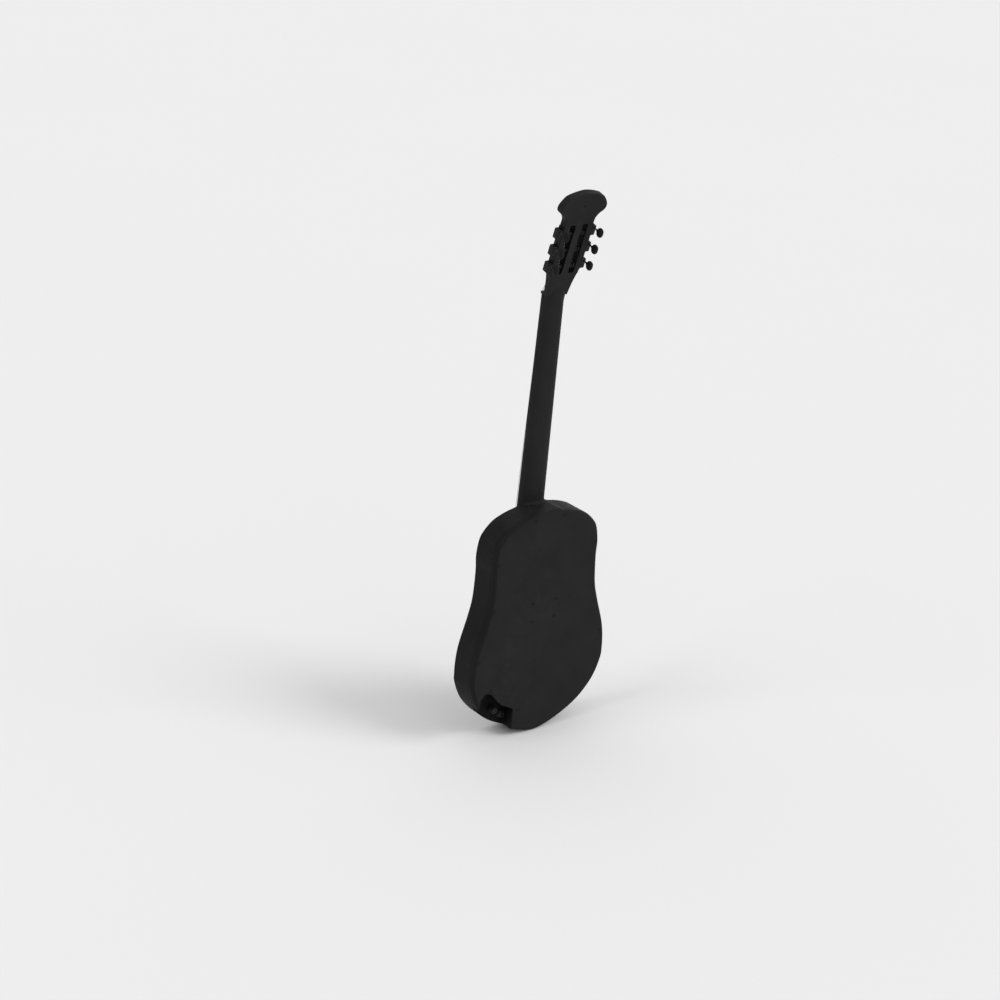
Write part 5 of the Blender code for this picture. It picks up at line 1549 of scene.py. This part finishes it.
def make_light():
    """Room light that falls off to one side, with a softbox on each side."""
    scene = bpy.context.scene
    scene.world = bpy.data.worlds.new("studio")
    scene.world.use_nodes = True
    tree = scene.world.node_tree
    background = fill(tree.nodes["Background"], Color=(1.0, 1.0, 1.0, 1.0))
    direction = tree.nodes.new("ShaderNodeTexCoord").outputs["Generated"]
    towards = tree.nodes.new("ShaderNodeVectorMath")
    towards.operation = "DOT_PRODUCT"
    towards.inputs[1].default_value = DIM_SIDE
    tree.links.new(direction, towards.inputs[0])
    level = fill(tree.nodes.new("ShaderNodeMapRange"), From_Min=-1.0, From_Max=1.0,
                 To_Min=SKY_FAR, To_Max=SKY_NEAR)
    tree.links.new(towards.outputs["Value"], level.inputs["Value"])
    seen = tree.nodes.new("ShaderNodeMix")
    tree.links.new(tree.nodes.new("ShaderNodeLightPath").outputs["Is Camera Ray"], seen.inputs[0])
    tree.links.new(level.outputs["Result"], seen.inputs[2])
    seen.inputs[3].default_value = SKY_SEEN
    tree.links.new(seen.outputs[0], background.inputs["Strength"])
    soft_sun("softbox_right", RIGHT_AZIMUTH, SUN_HIGH, SUN_RIGHT)
    soft_sun("softbox_left", LEFT_AZIMUTH, SUN_HIGH, SUN_LEFT)
    scene.view_settings.view_transform = "Standard"


NECK = neck_frame()
HEAD = head_frame()
BODY = body_outline()
RECESS = rounded(RECESS_CORNERS)

SHELL = satin_black("satin_shell")
# Satin darkened for the side wall and the cover's rounded edge: painted shade on faces that turn
# away from the back.
SIDE_SHADE_BLACK = satin_black("satin_side_painted_shade", 0.0128, 0.0156)
NECK_BLACK = satin_black("satin_neck", 0.0166, 0.0202, (0.42, 0.54), (1.0, 1.0, 0.05))
# Near-black satin for the walls inside the slots: painted shade.
SLOT_SHADE = satin_black("slot_painted_shade", 0.003, 0.004, (0.6, 0.75), (1.0, 1.0, 0.05))
BOWL = moulded("moulded_black", (0.0025, 0.0025, 0.0027), (0.5, 0.65), specular=0.08)
BUTTON = moulded("button_black", (0.009, 0.009, 0.0094), (0.45, 0.6), 500.0, 0.06)
KNOB_BLACK = moulded("knob_black", (0.016, 0.016, 0.0165), (0.45, 0.6), 500.0, 0.08)
NUT_BLACK = moulded("nut_black", (0.012, 0.012, 0.0125), (0.4, 0.5), 600.0, 0.15)
MARK = moulded("pointer_grey", (0.03, 0.03, 0.031), (0.4, 0.5), 700.0)
BLACK_METAL = black_metal("black_screws", 0.006, (0.4, 0.55), 0.06)
TUNER_BLACK = black_metal("black_plate", 0.0085, (0.5, 0.62), 0.03)
SOCKET_BLACK = black_metal("black_socket", 0.02, (0.45, 0.6), 0.05)
DARK_STEEL = black_metal("dark_steel", 0.03, (0.22, 0.36))
ROLLER = black_metal("black_roller", 0.006, (0.36, 0.5), 0.06)
FRET_STEEL = bright_metal("fret_steel", (0.56, 0.56, 0.55))
BRIGHT = bright_metal("bright_steel", (0.5, 0.5, 0.5))
EBONY = dark_wood("ebony", (0.008, 0.007, 0.0065), (0.02, 0.016, 0.013))
EBONY_ACROSS = dark_wood("ebony_across", (0.008, 0.007, 0.0065), (0.02, 0.016, 0.013),
                         (0.06, 1.0, 1.0))
SPRUCE_ACROSS = pale_wood("spruce", (0.08, 1.0, 1.0))
BONE = bone("polished_bone")
WOUND = wound_wire("black_winding")
NYLON = black_nylon("black_nylon")
PEARL = pearl("shell_inlay")
BATTERY = battery_wrap("battery_jacket")

make_camera()
make_floor()
make_light()
make_rim()
make_soundboard()
make_cover()
make_bowl()
make_jack()
make_knob()
make_screws()
make_neck()
make_fretboard()
make_nut()
make_bridge()
make_saddle()
make_strings()
make_tuners()
dress_nodes()
